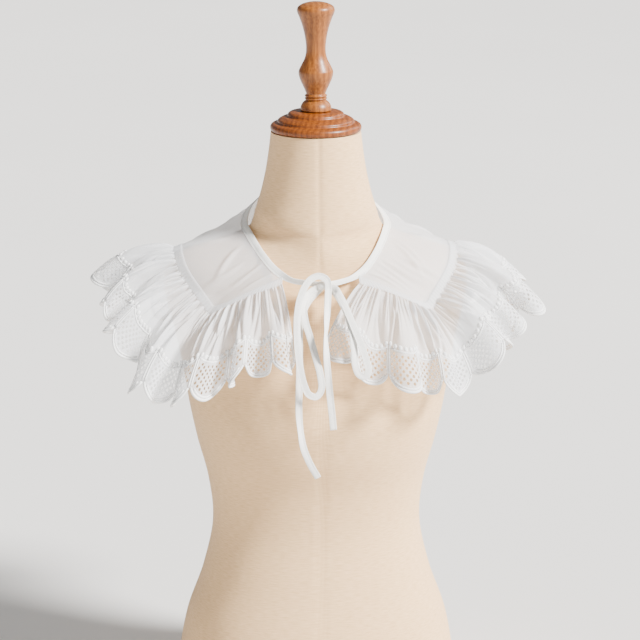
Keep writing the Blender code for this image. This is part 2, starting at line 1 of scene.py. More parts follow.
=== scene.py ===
"""The looks of a ruffled lace collar, tied with a bow on a limbless linen dress form.

Metres, +Z up, the front towards -Y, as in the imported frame. Cloth is cut flat from bmesh grids, with its
embroidery and stitches on it, and then draped: each flat point goes to its place on the worn collar.
"""

from __future__ import annotations

import json
import logging
import math
from dataclasses import dataclass, field
from enum import Enum
from typing import Callable, NamedTuple, Sequence

import bmesh
import bpy
import numpy as np
from mathutils import Matrix, Vector

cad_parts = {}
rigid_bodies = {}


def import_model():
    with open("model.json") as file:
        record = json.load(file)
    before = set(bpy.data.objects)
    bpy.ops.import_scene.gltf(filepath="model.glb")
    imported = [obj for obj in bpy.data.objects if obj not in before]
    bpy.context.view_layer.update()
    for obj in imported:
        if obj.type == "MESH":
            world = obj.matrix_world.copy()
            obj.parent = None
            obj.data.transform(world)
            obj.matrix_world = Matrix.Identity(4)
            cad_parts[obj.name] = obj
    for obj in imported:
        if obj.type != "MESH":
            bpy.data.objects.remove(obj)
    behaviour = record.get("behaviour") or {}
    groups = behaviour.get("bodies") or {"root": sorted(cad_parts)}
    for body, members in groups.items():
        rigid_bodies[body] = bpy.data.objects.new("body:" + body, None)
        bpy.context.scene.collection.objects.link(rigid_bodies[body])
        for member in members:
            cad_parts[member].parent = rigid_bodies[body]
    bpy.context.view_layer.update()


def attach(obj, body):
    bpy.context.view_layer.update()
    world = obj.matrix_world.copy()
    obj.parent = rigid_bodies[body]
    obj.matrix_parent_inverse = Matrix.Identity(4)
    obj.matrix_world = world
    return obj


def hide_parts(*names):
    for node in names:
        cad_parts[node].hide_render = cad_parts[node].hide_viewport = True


MM = 0.001
MERGE = 0.005 * MM
WAVE_BANDS = 20.0
log = logging.getLogger("lace_collar")

Place = Callable[[np.ndarray], np.ndarray]


class FormSection(NamedTuple):
    """A level section of the dress form, in mm."""

    height: float
    half_width: float
    front: float
    back: float
    squareness: float


class TurnedPoint(NamedTuple):
    """A point on a turned wooden piece, in mm."""

    radius: float
    height: float


class YokeStation(NamedTuple):
    """One cut across the right half of the yoke, in mm: its seam edge and its neck edge."""

    seam_x: float
    seam_y: float
    seam_z: float
    neck_x: float
    neck_y: float
    neck_z: float


class FallStation(NamedTuple):
    """How the ruffle falls from the seam: lobe number, reach, drop and arch in mm, heading in degrees."""

    lobe: float
    reach: float
    drop: float
    heading: float
    arch: float


class Fold(NamedTuple):
    """A big fold of the hem: the lobes it takes, and how far its crest leans towards the right."""

    lobes: float
    lean: float


class Crease(NamedTuple):
    """A long trough in the voile, in lobes along the strip and shares of its depth. Sink is in mm."""

    lobe: float
    lean: float
    start: float
    end: float
    width: float
    sink: float


class Wrinkle(NamedTuple):
    """A soft diagonal ridge of the yoke, between two places in lobes and shares of its width, in mm high."""

    lobe: float
    share: float
    end_lobe: float
    end_share: float
    width: float
    rise: float


class TapeKnot(NamedTuple):
    """A point on a tie's route in mm, its facing in degrees, and how far it stays in front of the ruffle."""

    x: float
    y: float
    z: float
    face: float
    clear: float


class Wave(NamedTuple):
    """One sine along the strip: its size, radians a lobe, start, and radians over the whole depth."""

    size: float
    rate: float
    start: float = 0.0
    turn: float = 0.0


class Light(NamedTuple):
    """A soft light. Its size is a square's side in metres or a sun's angle, and its colour is linear."""

    name: str
    kind: str
    place: tuple[float, float, float]
    size: float
    power: float
    colour: tuple[float, float, float]


def table(kind: type, *rows: tuple[float, ...]) -> tuple:
    """Give each row of a table its named columns."""
    return tuple(kind(*row) for row in rows)


FORM_SECTIONS = table(
    FormSection,
    (0.0, 160.0, 103.0, 112.0, 2.2), (45.0, 158.0, 103.0, 116.0, 2.2), (95.0, 149.0, 99.0, 109.0, 2.2),
    (150.0, 130.0, 90.0, 88.0, 2.2), (212.0, 118.0, 84.0, 72.0, 2.2), (262.0, 123.0, 93.0, 74.0, 2.2),
    (310.0, 135.0, 112.0, 82.0, 2.2), (350.0, 143.0, 120.0, 90.0, 2.3), (395.0, 150.0, 111.0, 96.0, 2.4),
    (435.0, 158.0, 96.0, 98.0, 2.4), (468.0, 166.0, 83.0, 97.0, 2.3), (494.0, 169.0, 73.0, 93.0, 2.1),
    (510.0, 163.0, 68.5, 88.0, 1.8), (521.0, 150.0, 66.0, 84.0, 1.5), (532.0, 122.0, 64.5, 80.0, 1.3),
    (540.0, 96.0, 63.0, 77.0, 1.3), (547.0, 77.0, 61.5, 74.5, 1.5), (555.0, 71.0, 60.0, 72.0, 1.8),
    (567.0, 67.5, 57.5, 69.0, 2.0), (582.0, 62.5, 55.0, 65.0, 2.0), (604.0, 57.0, 52.0, 57.0, 2.0),
    (630.0, 52.5, 49.5, 52.0, 2.0), (654.5, 49.5, 48.0, 49.5, 2.0),
)
CAP_PROFILE = table(
    TurnedPoint,
    (46.0, 654.8), (49.3, 656.3), (50.2, 659.0), (49.4, 661.8), (46.6, 663.8), (43.2, 664.4), (42.3, 665.2),
    (41.8, 667.0), (39.0, 669.2), (35.0, 670.9), (32.2, 671.4), (31.3, 672.2), (30.6, 674.2), (28.4, 676.0),
    (25.0, 676.9),
)
FINIAL_PROFILE = table(
    TurnedPoint,
    (12.0, 677.2), (15.9, 677.3), (16.9, 678.1), (17.0, 680.2), (16.2, 683.4), (14.2, 686.5), (11.6, 688.7),
    (10.8, 689.3), (12.2, 690.6), (12.1, 691.5), (10.8, 692.3), (12.2, 693.6), (12.1, 694.5), (10.8, 695.4),
    (11.6, 698.8), (14.8, 706.0), (17.7, 712.8), (18.9, 718.0), (18.9, 720.6), (18.2, 722.6), (15.6, 728.0),
    (12.9, 733.3), (11.4, 738.0), (10.7, 747.0), (11.6, 756.0), (14.4, 769.0), (18.2, 780.0), (20.4, 785.4),
    (20.6, 787.6), (19.6, 790.4), (15.0, 793.6), (8.0, 795.7),
)
YOKE_STATIONS = table(
    YokeStation,
    (42.0, -78.5, 502.0, 40.5, -71.5, 513.0), (75.0, -80.0, 491.0, 50.0, -62.0, 520.5),
    (98.0, -79.0, 480.5, 56.5, -54.0, 527.5), (114.0, -76.0, 472.5, 60.5, -48.0, 532.0),
    (121.0, -72.5, 470.0, 62.5, -44.5, 534.5), (126.0, -66.0, 475.0, 64.0, -41.0, 536.5),
    (137.5, -50.0, 488.5, 68.0, -31.5, 542.0), (148.5, -29.0, 503.5, 72.0, -16.0, 547.5),
    (157.0, 10.0, 522.0, 75.0, 6.0, 553.5), (151.0, 45.0, 514.0, 70.0, 30.0, 563.0),
    (138.0, 70.0, 501.0, 61.5, 46.0, 570.5), (127.0, 83.0, 490.0, 54.0, 55.0, 575.0),
    (122.0, 87.5, 486.5, 50.5, 58.5, 576.5), (112.0, 91.0, 487.0, 46.0, 62.0, 577.5),
    (60.0, 101.0, 491.0, 27.0, 70.0, 580.5), (0.0, 104.0, 493.0, 0.0, 73.5, 581.5),
)
FALL_STATIONS = table(
    FallStation,
    (0.0, 66.0, 84.0, -12.0, 7.0), (2.0, 64.0, 76.0, 8.0, 9.0), (3.6, 64.0, 90.0, 24.0, 10.0),
    (5.2, 74.0, 90.0, 46.0, 11.0), (6.6, 91.0, 92.0, 65.0, 12.0), (7.6, 72.0, 76.0, 71.0, 13.0),
    (8.6, 74.0, 68.0, 78.0, 13.0), (9.8, 79.0, 60.0, 84.0, 14.0), (11.5, 77.0, 48.0, 92.0, 14.0),
    (14.0, 80.0, 60.0, 108.0, 13.0), (17.0, 76.0, 76.0, 137.0, 11.0), (20.5, 66.0, 86.0, 164.0, 9.0),
    (24.0, 64.0, 88.0, 180.0, 8.0), (27.5, 66.0, 86.0, 196.0, 9.0), (31.0, 76.0, 76.0, 223.0, 11.0),
    (34.0, 78.0, 60.0, 252.0, 13.0), (36.5, 74.0, 60.0, 268.0, 14.0), (38.2, 74.0, 66.0, 277.0, 13.0),
    (39.8, 80.0, 60.0, 286.0, 12.0), (41.2, 78.0, 58.0, 299.0, 12.0), (42.4, 72.0, 64.0, 311.0, 11.0),
    (43.4, 68.0, 84.0, 324.0, 10.0), (44.4, 64.0, 88.0, 340.0, 10.0), (46.0, 66.0, 90.0, 368.0, 9.0),
    (48.0, 76.0, 62.0, 398.0, 7.0),
)
FOLDS = table(
    Fold,
    (1.5, -0.15), (1.4, 0.3), (2.3, 0.2), (1.6, -0.3), (2.4, 0.25), (1.6, -0.35), (2.1, 0.3), (2.0, -0.2),
    (1.7, 0.3), (2.3, 0.1), (1.6, -0.3), (2.0, 0.25), (1.9, -0.2), (1.6, 0.3), (2.2, 0.15), (1.7, -0.3),
    (2.1, 0.25), (1.6, -0.25), (2.0, 0.2), (1.5, -0.3), (2.4, 0.2), (1.4, -0.25), (2.3, -0.25), (1.3, 0.3),
    (1.9, -0.2), (1.6, 0.15),
)
# A run of twelve lobes, used again round the back with its places shifted
CREASES = table(
    Crease,
    (0.35, 0.10, 0.04, 0.52, 0.050, 1.5), (0.80, -0.20, 0.10, 0.46, 0.040, 1.2),
    (1.45, 0.35, 0.05, 0.60, 0.060, 1.9), (1.90, 0.00, 0.02, 0.36, 0.040, 1.2),
    (2.42, -0.30, 0.08, 0.62, 0.055, 1.7), (2.95, 0.22, 0.05, 0.44, 0.040, 1.3),
    (3.40, 0.40, 0.12, 0.66, 0.065, 2.1), (4.10, -0.15, 0.04, 0.50, 0.045, 1.4),
    (4.55, -0.45, 0.10, 0.64, 0.060, 2.0), (5.15, 0.15, 0.03, 0.40, 0.040, 1.3),
    (5.70, 0.50, 0.08, 0.68, 0.070, 2.2), (6.20, -0.10, 0.05, 0.46, 0.040, 1.2),
    (6.75, -0.40, 0.06, 0.60, 0.060, 1.8), (7.30, 0.25, 0.03, 0.42, 0.045, 1.4),
    (7.85, 0.30, 0.12, 0.62, 0.055, 1.9), (8.50, -0.20, 0.04, 0.52, 0.045, 1.3),
    (8.95, -0.50, 0.08, 0.66, 0.065, 2.1), (9.60, 0.10, 0.03, 0.38, 0.040, 1.2),
    (10.10, 0.45, 0.10, 0.60, 0.060, 1.8), (10.70, -0.25, 0.05, 0.48, 0.045, 1.4),
    (11.25, 0.30, 0.06, 0.64, 0.055, 1.9), (11.70, -0.10, 0.04, 0.40, 0.040, 1.2),
)
# The left front and shoulder, used again with the sides and places changed
WRINKLES = table(
    Wrinkle,
    (1.2, 0.20, 3.6, 0.75, 4.0, 0.7), (3.2, 0.10, 5.6, 0.80, 5.0, 1.0), (5.4, 0.25, 6.8, 0.90, 4.0, 0.8),
    (7.6, 0.15, 6.2, 0.70, 5.0, 0.9), (9.2, 0.20, 10.6, 0.85, 6.0, 0.8), (12.0, 0.30, 13.4, 0.90, 5.0, 0.7),
    (14.6, 0.10, 15.2, 0.70, 6.0, 0.9), (17.0, 0.20, 19.6, 0.80, 5.0, 0.8),
)
# Where the gathers, the creases and the lobes are uneven along the strip
FINE_WANDER = (Wave(2.1, 1.3), Wave(1.3, 3.7, 1.0), Wave(0.5, 9.1))
FINE_LEAN = (Wave(3.2, 2.9, 0.6), Wave(1.8, 6.7, 0.0, 5.0))
FINE_REACH = (Wave(0.14, 1.9, 0.7), Wave(0.08, 6.1))
FINE_STRENGTH = (Wave(0.3, 8.3, 2.0),)
FINE_SWELL = Wave(0.4, 5.1)
FINE_SWAY = (Wave(0.8, 2.2),)
BROAD_WANDER = (Wave(1.4, 1.7, 0.4), Wave(0.7, 4.1))
BROAD_STRENGTH = (Wave(0.3, 2.3), Wave(0.3, 3.3, 1.0))
FOLD_FADE = (Wave(0.3, 1.9),)
ALLOWANCE_WANDER = (Wave(1.5, 1.7),)
LOBE_CUP = (Wave(1.6 * MM, 2.4, 0.9),)
LIGHTS = (
    Light("window", "SUN", (2.1, -1.2, 2.15), math.radians(13), 15.6, (1.0, 0.985, 0.965)),
    Light("fill", "AREA", (-2.0, -2.0, 1.3), 2.2, 7.0, (0.95, 0.975, 1.0)),
    Light("right_wash", "AREA", (3.2, 2.2, 2.6), 2.4, 90.0, (1.0, 0.99, 0.98)),
)
LOOP_LEFT = table(
    TapeKnot,
    (6.6, -98.2, 501.1, 5.0, 3.0), (5.0, -98.4, 510.6, 2.0, 3.0), (-3.1, -99.0, 515.3, 0.0, 3.0),
    (-11.7, -100.0, 512.8, -5.0, 3.0), (-18.2, -102.0, 505.6, -10.0, 3.0),
    (-23.9, -107.0, 493.5, -8.0, 6.0), (-27.8, -118.0, 477.7, -4.0, 6.0), (-29.2, -132.0, 459.4, 0.0, 6.0),
    (-28.4, -144.0, 440.7, 0.0, 6.0), (-26.2, -150.0, 422.6, 0.0, 6.0), (-22.6, -152.0, 408.7, 0.0, 5.0),
    (-16.8, -152.0, 398.1, 0.0, 4.0), (-9.3, -151.0, 396.5, 0.0, 3.0), (-4.6, -151.0, 404.1, 0.0, 3.0),
    (-5.4, -150.0, 418.6, 0.0, 3.0), (-9.9, -142.0, 436.8, 0.0, 3.0), (-14.9, -125.0, 455.0, 0.0, 3.0),
    (-19.5, -113.0, 470.7, 2.0, 3.0), (-19.9, -103.0, 483.5, 4.0, 3.0), (-15.2, -97.0, 494.1, 6.0, 2.0),
)
TAIL_LEFT = table(
    TapeKnot,
    (-3.0, -92.8, 498.6, 0.0, 2.0), (-14.5, -95.0, 486.9, 0.0, 2.0), (-23.2, -104.0, 470.5, 0.0, 2.0),
    (-25.8, -120.0, 452.7, 0.0, 2.0), (-26.7, -134.0, 434.5, 0.0, 2.0), (-27.3, -142.0, 414.7, 0.0, 2.0),
    (-28.0, -145.0, 394.5, 0.0, 2.0), (-28.0, -144.0, 374.2, 10.0, 2.0), (-26.3, -142.0, 354.5, 30.0, 2.0),
    (-23.0, -140.0, 335.8, 10.0, 2.0), (-15.9, -138.0, 316.9, -5.0, 2.0), (-7.2, -137.0, 300.4, -10.0, 2.0),
)
TAIL_RIGHT = table(
    TapeKnot,
    (6.6, -98.2, 500.0, 5.0, 2.0), (5.1, -106.0, 481.6, 10.0, 2.0), (3.0, -121.0, 468.0, 25.0, 2.0),
    (1.0, -141.0, 455.8, 45.0, 2.0), (1.1, -147.0, 439.9, 25.0, 2.0), (2.9, -144.5, 418.4, 5.0, 2.0),
    (5.0, -144.0, 395.8, 0.0, 2.0), (7.3, -143.0, 374.7, 0.0, 2.0), (9.1, -142.0, 355.9, 0.0, 2.0),
)
LOOP_RIGHT = table(
    TapeKnot,
    (9.3, -92.6, 500.8, 10.0, 2.0), (16.6, -97.0, 492.5, 12.0, 2.0), (21.8, -106.5, 484.5, 12.0, 2.0),
    (26.8, -124.0, 472.7, 10.0, 2.0), (29.8, -140.0, 458.3, 8.0, 2.0), (30.6, -150.0, 443.5, 5.0, 2.0),
    (31.2, -156.0, 430.9, 5.0, 2.0), (35.3, -158.0, 421.4, 5.0, 2.0), (41.2, -158.0, 419.1, 5.0, 2.0),
    (44.9, -158.0, 424.5, 5.0, 3.0), (42.9, -156.0, 436.1, 5.0, 4.0), (38.1, -149.0, 450.7, 8.0, 5.0),
    (32.2, -137.0, 465.1, 10.0, 5.0), (26.4, -122.0, 478.8, 12.0, 5.0), (20.6, -109.5, 491.0, 12.0, 5.0),
    (15.4, -98.5, 499.5, 10.0, 4.0),
)
BRIDGE_LEFT = table(
    TapeKnot,
    (-39.9, -75.6, 508.4, -20.0, 0.5), (-32.3, -78.7, 506.0, -20.0, 0.5), (-24.1, -83.0, 505.2, -16.0, 0.5),
    (-14.7, -88.5, 505.1, -10.0, 0.5), (-5.9, -92.5, 504.8, 0.0, 0.5),
)
BRIDGE_RIGHT = table(
    TapeKnot,
    (40.3, -75.3, 508.6, 20.0, 0.5), (31.5, -79.0, 506.5, 20.0, 0.5), (22.5, -84.0, 505.1, 14.0, 0.5),
    (14.0, -89.0, 504.4, 8.0, 0.5), (7.9, -92.5, 504.4, 0.0, 0.5),
)


class Side(Enum):
    """The wearer's half of the ruffle, as seen from the front, with the lobes it spans."""

    LEFT = (0, 24)
    RIGHT = (24, 48)

    @property
    def label(self) -> str:
        """The side's name in lower case."""
        return self.name.lower()


class Slot(Enum):
    """The record's material slots."""

    LINEN = "linen"
    WOOD = "turned_wood"
    VOILE = "voile"
    LACE = "eyelet_lace"
    TAPE = "cotton_tape"


def smooth_through(knots: Sequence[float] | np.ndarray, values: np.ndarray, at: np.ndarray) -> np.ndarray:
    """Read a smooth curve through a few knots, with each knot's slope taken from its neighbours.

    Args:
        knots: Where the values stand, in rising order.
        values: One value or one row of values for each knot.
        at: Where to read.

    Returns:
        The values there.
    """
    knots = np.asarray(knots, float)
    values = np.asarray(values, float)
    at = np.asarray(at, float)
    slopes = np.gradient(values, knots, axis=0)
    left = np.clip(np.searchsorted(knots, at, side="right") - 1, 0, len(knots) - 2)
    span = knots[left + 1] - knots[left]
    t = (at - knots[left]) / span
    if values.ndim > 1:
        span = span[..., None]
        t = t[..., None]
    start = (1 + 2 * t) * (1 - t) ** 2 * values[left] + t * (1 - t) ** 2 * span * slopes[left]
    end = t * t * (3 - 2 * t) * values[left + 1] + t * t * (t - 1) * span * slopes[left + 1]
    return start + end


def unit(vectors: np.ndarray) -> np.ndarray:
    """Scale rows of vectors to length 1."""
    return vectors / np.maximum(np.linalg.norm(vectors, axis=-1, keepdims=True), 1e-12)


def run_lengths(points: np.ndarray) -> np.ndarray:
    """The length of a line of points up to each one, starting at 0."""
    steps = np.linalg.norm(np.diff(points, axis=0), axis=1)
    return np.concatenate([[0.0], np.cumsum(steps)])


def headings(line: np.ndarray) -> np.ndarray:
    """The direction of a line at each of its points."""
    return unit(np.gradient(line, axis=0))


def squared(facing: np.ndarray, along: np.ndarray) -> np.ndarray:
    """Turn facings square to a line's directions."""
    return unit(facing - along * (facing * along).sum(axis=1, keepdims=True))


def eased(values: np.ndarray) -> np.ndarray:
    """The inner values, each averaged with its two neighbours."""
    return (values[:-2] + 2 * values[1:-1] + values[2:]) / 4


def bent(wave: np.ndarray, power: float | np.ndarray) -> np.ndarray:
    """Raise a wave to a power and keep its sign."""
    return np.sign(wave) * np.abs(wave) ** power


def waves(rows: Sequence[Wave], strip: np.ndarray, depth: np.ndarray | float = 0.0) -> np.ndarray:
    """Add up sines at these places along the strip and down its depth."""
    return sum(row.size * np.sin(row.rate * strip + (row.start + row.turn * depth)) for row in rows)


def soft_step(low: float, high: float, at: np.ndarray) -> np.ndarray:
    """Rise smoothly from 0 at low to 1 at high."""
    t = np.clip((at - low) / (high - low), 0, 1)
    return t * t * (3 - 2 * t)


def linear(colour: str) -> tuple[float, float, float, float]:
    """Turn an sRGB hex colour into Blender's linear values.

    Args:
        colour: Six hex digits after a #.

    Returns:
        Red, green, blue and alpha.
    """
    parts = [int(colour[i : i + 2], 16) / 255 for i in (1, 3, 5)]
    red, green, blue = (c / 12.92 if c <= 0.04045 else ((c + 0.055) / 1.055) ** 2.4 for c in parts)
    return red, green, blue, 1.0


def add_node(tree: bpy.types.NodeTree, kind: str, values: dict | None = None, links: dict | None = None,
             **settings: object) -> bpy.types.Node:
    """Add one node with its settings, socket values and links.

    Args:
        tree: The material's node tree.
        kind: The node's type name.
        values: Default values by input socket name or number.
        links: Output sockets to link, by input socket name or number.
        **settings: The node's own properties.

    Returns:
        The node.
    """
    node = tree.nodes.new(kind)
    for name, value in settings.items():
        setattr(node, name, value)
    for name, value in (values or {}).items():
        node.inputs[name].default_value = value
    for name, socket in (links or {}).items():
        tree.links.new(socket, node.inputs[name])
    return node


def new_surface(name: str) -> tuple[bpy.types.Material, bpy.types.NodeTree, bpy.types.Node]:
    """A new material, its node tree and its Principled shader.

    Args:
        name: The material's name.

    Returns:
        The three.
    """
    material = bpy.data.materials.new(name)
    material.use_nodes = True
    tree = material.node_tree
    return material, tree, tree.nodes["Principled BSDF"]


def set_inputs(shader: bpy.types.Node, **values: float | tuple[float, ...]) -> None:
    """Set a shader's sockets by name, with an underscore for each space."""
    for name, value in values.items():
        shader.inputs[name.replace("_", " ")].default_value = value


def add_ramp(tree: bpy.types.NodeTree, fac: bpy.types.NodeSocket,
             stops: Sequence[tuple[float, str]]) -> bpy.types.NodeSocket:
    """Colour a pattern by a ramp.

    Args:
        tree: The material's node tree.
        fac: The pattern's output socket.
        stops: Places from 0 to 1, each with an sRGB hex colour, in rising order.

    Returns:
        The ramp's colour socket.
    """
    node = add_node(tree, "ShaderNodeValToRGB", links={"Fac": fac})
    elements = node.color_ramp.elements
    for element, (place, colour) in ((elements[1], stops[-1]), (elements[0], stops[0])):
        element.position = place
        element.color = linear(colour)
    for place, colour in stops[1:-1]:
        elements.new(place).color = linear(colour)
    return node.outputs["Color"]


def wave_scale(pitch: float) -> float:
    """The Wave texture's scale that repeats at this pitch, in metres."""
    return 2 * math.pi / (WAVE_BANDS * pitch)


@dataclass(frozen=True)
class Weave:
    """Plain-woven cloth. The eye sees crossed threads, a little slubby, under a faint fibre sheen."""

    name: str
    light: str
    dark: str
    thread: float
    slub: float
    depth: float
    roughness: float
    sheen: float
    crinkle: float = 0.0
    crinkle_size: float = 0.004
    alpha: float = 1.0
    dense_alpha: float = 1.0
    thread_share: float = 0.22

    def make(self) -> bpy.types.Material:
        """Build the material on the cloth's own flat UV map, in metres.

        Returns:
            The material.
        """
        material, tree, shader = new_surface(self.name)
        flat = add_node(tree, "ShaderNodeUVMap", uv_map="flat").outputs["UV"]
        pattern = {"Scale": wave_scale(self.thread), "Distortion": 1.2, "Detail": 2.0, "Detail Scale": 0.12}
        warp, weft = (
            add_node(tree, "ShaderNodeTexWave", pattern, {"Vector": flat}, bands_direction=direction)
            for direction in ("X", "Y"))
        threads = add_node(tree, "ShaderNodeMath", links={0: warp.outputs["Fac"], 1: weft.outputs["Fac"]},
                           operation="ADD")
        long_way = add_node(tree, "ShaderNodeMapping", {"Scale": (1 / self.slub, 9 / self.slub, 1.0)},
                            {"Vector": flat})
        slubs = add_node(tree, "ShaderNodeTexNoise", {"Scale": 1.0, "Detail": 3.0},
                         {"Vector": long_way.outputs[0]})
        shade = add_node(tree, "ShaderNodeMath", {1: self.thread_share}, {0: threads.outputs[0]},
                         operation="MULTIPLY")
        tone = add_node(tree, "ShaderNodeMath", links={0: shade.outputs[0], 1: slubs.outputs["Fac"]},
                        operation="ADD")
        colour = add_ramp(tree, tone.outputs[0], ((0.35, self.dark), (0.95, self.light)))
        tree.links.new(colour, shader.inputs["Base Color"])
        bump = add_node(tree, "ShaderNodeBump", {"Distance": self.depth, "Strength": 0.6},
                        {"Height": threads.outputs[0]})
        if self.crinkle:
            fineness = (1 / self.crinkle_size, 0.4 / self.crinkle_size, 1.0)
            across = add_node(tree, "ShaderNodeMapping", {"Scale": fineness}, {"Vector": flat})
            crinkles = add_node(tree, "ShaderNodeTexNoise", {"Scale": 1.0, "Detail": 3.0, "Roughness": 0.55},
                                {"Vector": across.outputs[0]})
            bump = add_node(tree, "ShaderNodeBump", {"Distance": self.crinkle, "Strength": 0.7},
                            {"Height": crinkles.outputs["Fac"], "Normal": bump.outputs["Normal"]})
        tree.links.new(bump.outputs["Normal"], shader.inputs["Normal"])
        set_inputs(shader, Roughness=self.roughness, Sheen_Weight=self.sheen, Sheen_Roughness=0.5)
        if self.alpha < 1.0:
            density = add_node(tree, "ShaderNodeAttribute", attribute_name="density")
            cover = add_node(tree, "ShaderNodeMapRange", {"To Min": self.alpha, "To Max": self.dense_alpha},
                             {"Value": density.outputs["Fac"]})
            tree.links.new(cover.outputs[0], shader.inputs["Alpha"])
        return material


@dataclass(frozen=True)
class SatinThread:
    """Cotton embroidery in satin stitch. The eye sees smooth raised cords with a soft thread gloss."""

    name: str = "satin_stitch_cotton_thread"
    light: str = "#FBFBFA"
    dark: str = "#E9E9E8"
    thread: float = 0.45 * MM

    def make(self) -> bpy.types.Material:
        """Build the material, its threads drawn a little coarser than real so that they show.

        Returns:
            The material.
        """
        material, tree, shader = new_surface(self.name)
        flat = add_node(tree, "ShaderNodeUVMap", uv_map="flat").outputs["UV"]
        pattern = {"Scale": wave_scale(self.thread), "Distortion": 2.0, "Detail": 1.0, "Detail Scale": 0.2}
        threads = add_node(tree, "ShaderNodeTexWave", pattern, {"Vector": flat}, bands_direction="DIAGONAL")
        colour = add_ramp(tree, threads.outputs["Fac"], ((0.0, self.dark), (1.0, self.light)))
        bump = add_node(tree, "ShaderNodeBump", {"Distance": 0.12 * MM, "Strength": 0.6},
                        {"Height": threads.outputs["Fac"]})
        tree.links.new(colour, shader.inputs["Base Color"])
        tree.links.new(bump.outputs["Normal"], shader.inputs["Normal"])
        set_inputs(shader, Roughness=0.55, Sheen_Weight=0.2)
        return material


@dataclass(frozen=True)
class TurnedWood:
    """Beech turned on a lathe, stained and varnished: warm grain along the stick under a satin coat."""

    name: str = "turned_stained_beech"
    pale: str = "#8A4913"
    mid: str = "#70380D"
    deep: str = "#512607"
    ring: float = 6.0 * MM
    grain: float = 1.5 * MM
    ring_share: float = 0.2

    def make(self) -> bpy.types.Material:
        """Build the material on Object coordinates, with growth rings about an axis beside the stick.

        Returns:
            The material.
        """
        material, tree, shader = new_surface(self.name)
        place = add_node(tree, "ShaderNodeTexCoord").outputs["Object"]
        beside = add_node(tree, "ShaderNodeMapping",
                          {"Location": (0.031, 0.052, 0.0), "Rotation": (0.05, 0.03, 0.0)}, {"Vector": place})
        pattern = {"Scale": wave_scale(self.ring), "Distortion": 5.0, "Detail": 2.0, "Detail Scale": 0.03}
        rings = add_node(tree, "ShaderNodeTexWave", pattern, {"Vector": beside.outputs[0]}, wave_type="RINGS",
                         rings_direction="Z")
        fineness = (1 / self.grain, 1 / self.grain, 0.05 / self.grain)
        along = add_node(tree, "ShaderNodeMapping", {"Scale": fineness}, {"Vector": place})
        fibres = add_node(tree, "ShaderNodeTexNoise", {"Scale": 1.0, "Detail": 4.0},
                          {"Vector": along.outputs[0]})
        share = add_node(tree, "ShaderNodeMath", {1: self.ring_share}, {0: rings.outputs["Fac"]},
                         operation="MULTIPLY")
        tone = add_node(tree, "ShaderNodeMath", links={0: share.outputs[0], 1: fibres.outputs["Fac"]},
                        operation="ADD")
        colour = add_ramp(tree, tone.outputs[0], ((0.32, self.deep), (0.6, self.mid), (0.85, self.pale)))
        bump = add_node(tree, "ShaderNodeBump", {"Distance": 0.05 * MM, "Strength": 0.3},
                        {"Height": fibres.outputs["Fac"]})
        tree.links.new(colour, shader.inputs["Base Color"])
        tree.links.new(bump.outputs["Normal"], shader.inputs["Normal"])
        set_inputs(shader, Roughness=0.42, Specular_IOR_Level=0.3, Coat_Weight=0.12, Coat_Roughness=0.22)
        return material


@dataclass(frozen=True)
class PaintedFloor:
    """Matt emulsion on the studio's floor."""

    name: str = "matt_white_paint"
    light: str = "#D9D7D4"
    dark: str = "#D3D1CE"

    def make(self) -> bpy.types.Material:
        """Build the material.

        Returns:
            The material.
        """
        material, tree, shader = new_surface(self.name)
        place = add_node(tree, "ShaderNodeTexCoord").outputs["Object"]
        mottle = add_node(tree, "ShaderNodeTexNoise", {"Scale": 1.3, "Detail": 2.0}, {"Vector": place})
        colour = add_ramp(tree, mottle.outputs["Fac"], ((0.0, self.dark), (1.0, self.light)))
        tree.links.new(colour, shader.inputs["Base Color"])
        set_inputs(shader, Roughness=0.9)
        return material


STAINED_BEECH = TurnedWood()
HONEY_BEECH = TurnedWood("turned_honey_beech", "#9A5D25", "#824A1B", "#66370F")
LINEN = Weave("natural_linen_plain_weave", "#F0C997", "#CFA26F", 0.9 * MM, 9 * MM, 0.16 * MM, 0.9, 0.15)
VOILE = Weave("sheer_cotton_voile", "#FAFBFD", "#EDEFF3", 0.6 * MM, 7 * MM, 0.05 * MM, 0.8, 0.2,
              crinkle=0.6 * MM, crinkle_size=6 * MM, alpha=0.4, dense_alpha=0.93)
TAPE = Weave("folded_cotton_tape", "#FBFAF6", "#E9E6DF", 0.55 * MM, 5 * MM, 0.07 * MM, 0.8, 0.25,
             crinkle=0.2 * MM, crinkle_size=3 * MM)


def cut_grid(columns: int, rows: int) -> bmesh.types.BMesh:
    """A flat sheet from 0 to 1 in X and Y.

    Args:
        columns: Faces along X.
        rows: Faces along Y.

    Returns:
        The sheet as a bmesh.
    """
    shape = bmesh.new()
    middle = Matrix.Translation((0.5, 0.5, 0.0))
    bmesh.ops.create_grid(shape, x_segments=columns, y_segments=rows, size=0.5, matrix=middle)
    return shape


def shift(shape: bmesh.types.BMesh, move: Place, verts: Sequence | None = None) -> None:
    """Put vertices of a flat shape elsewhere, all at once.

    Args:
        shape: The bmesh.
        move: From old places to new ones.
        verts: The vertices, or None for all.
    """
    chosen = list(shape.verts) if verts is None else list(verts)
    for vert, place in zip(chosen, move(np.array([v.co for v in chosen]))):
        vert.co = place


def ring_profile(turn: np.ndarray, half_width: float, half_height: float, pinch: float = 0.0,
                 squareness: float = 2.0) -> tuple[np.ndarray, np.ndarray]:
    """A flattened tube's section: how far across and how far out it lies at each turn from 0 to 1.

    Args:
        turn: Where round the section.
        half_width: Half its width, in metres.
        half_height: Half its height, in metres.
        pinch: How much thinner its middle is, as a share.
        squareness: 2 is an ellipse, and more is squarer.

    Returns:
        Across and out, in metres.
    """
    angle = 2 * math.pi * turn
    across, out = bent(np.cos(angle), 2 / squareness), bent(np.sin(angle), 2 / squareness)
    return half_width * across, half_height * out * (1 - pinch * (1 - across * across))


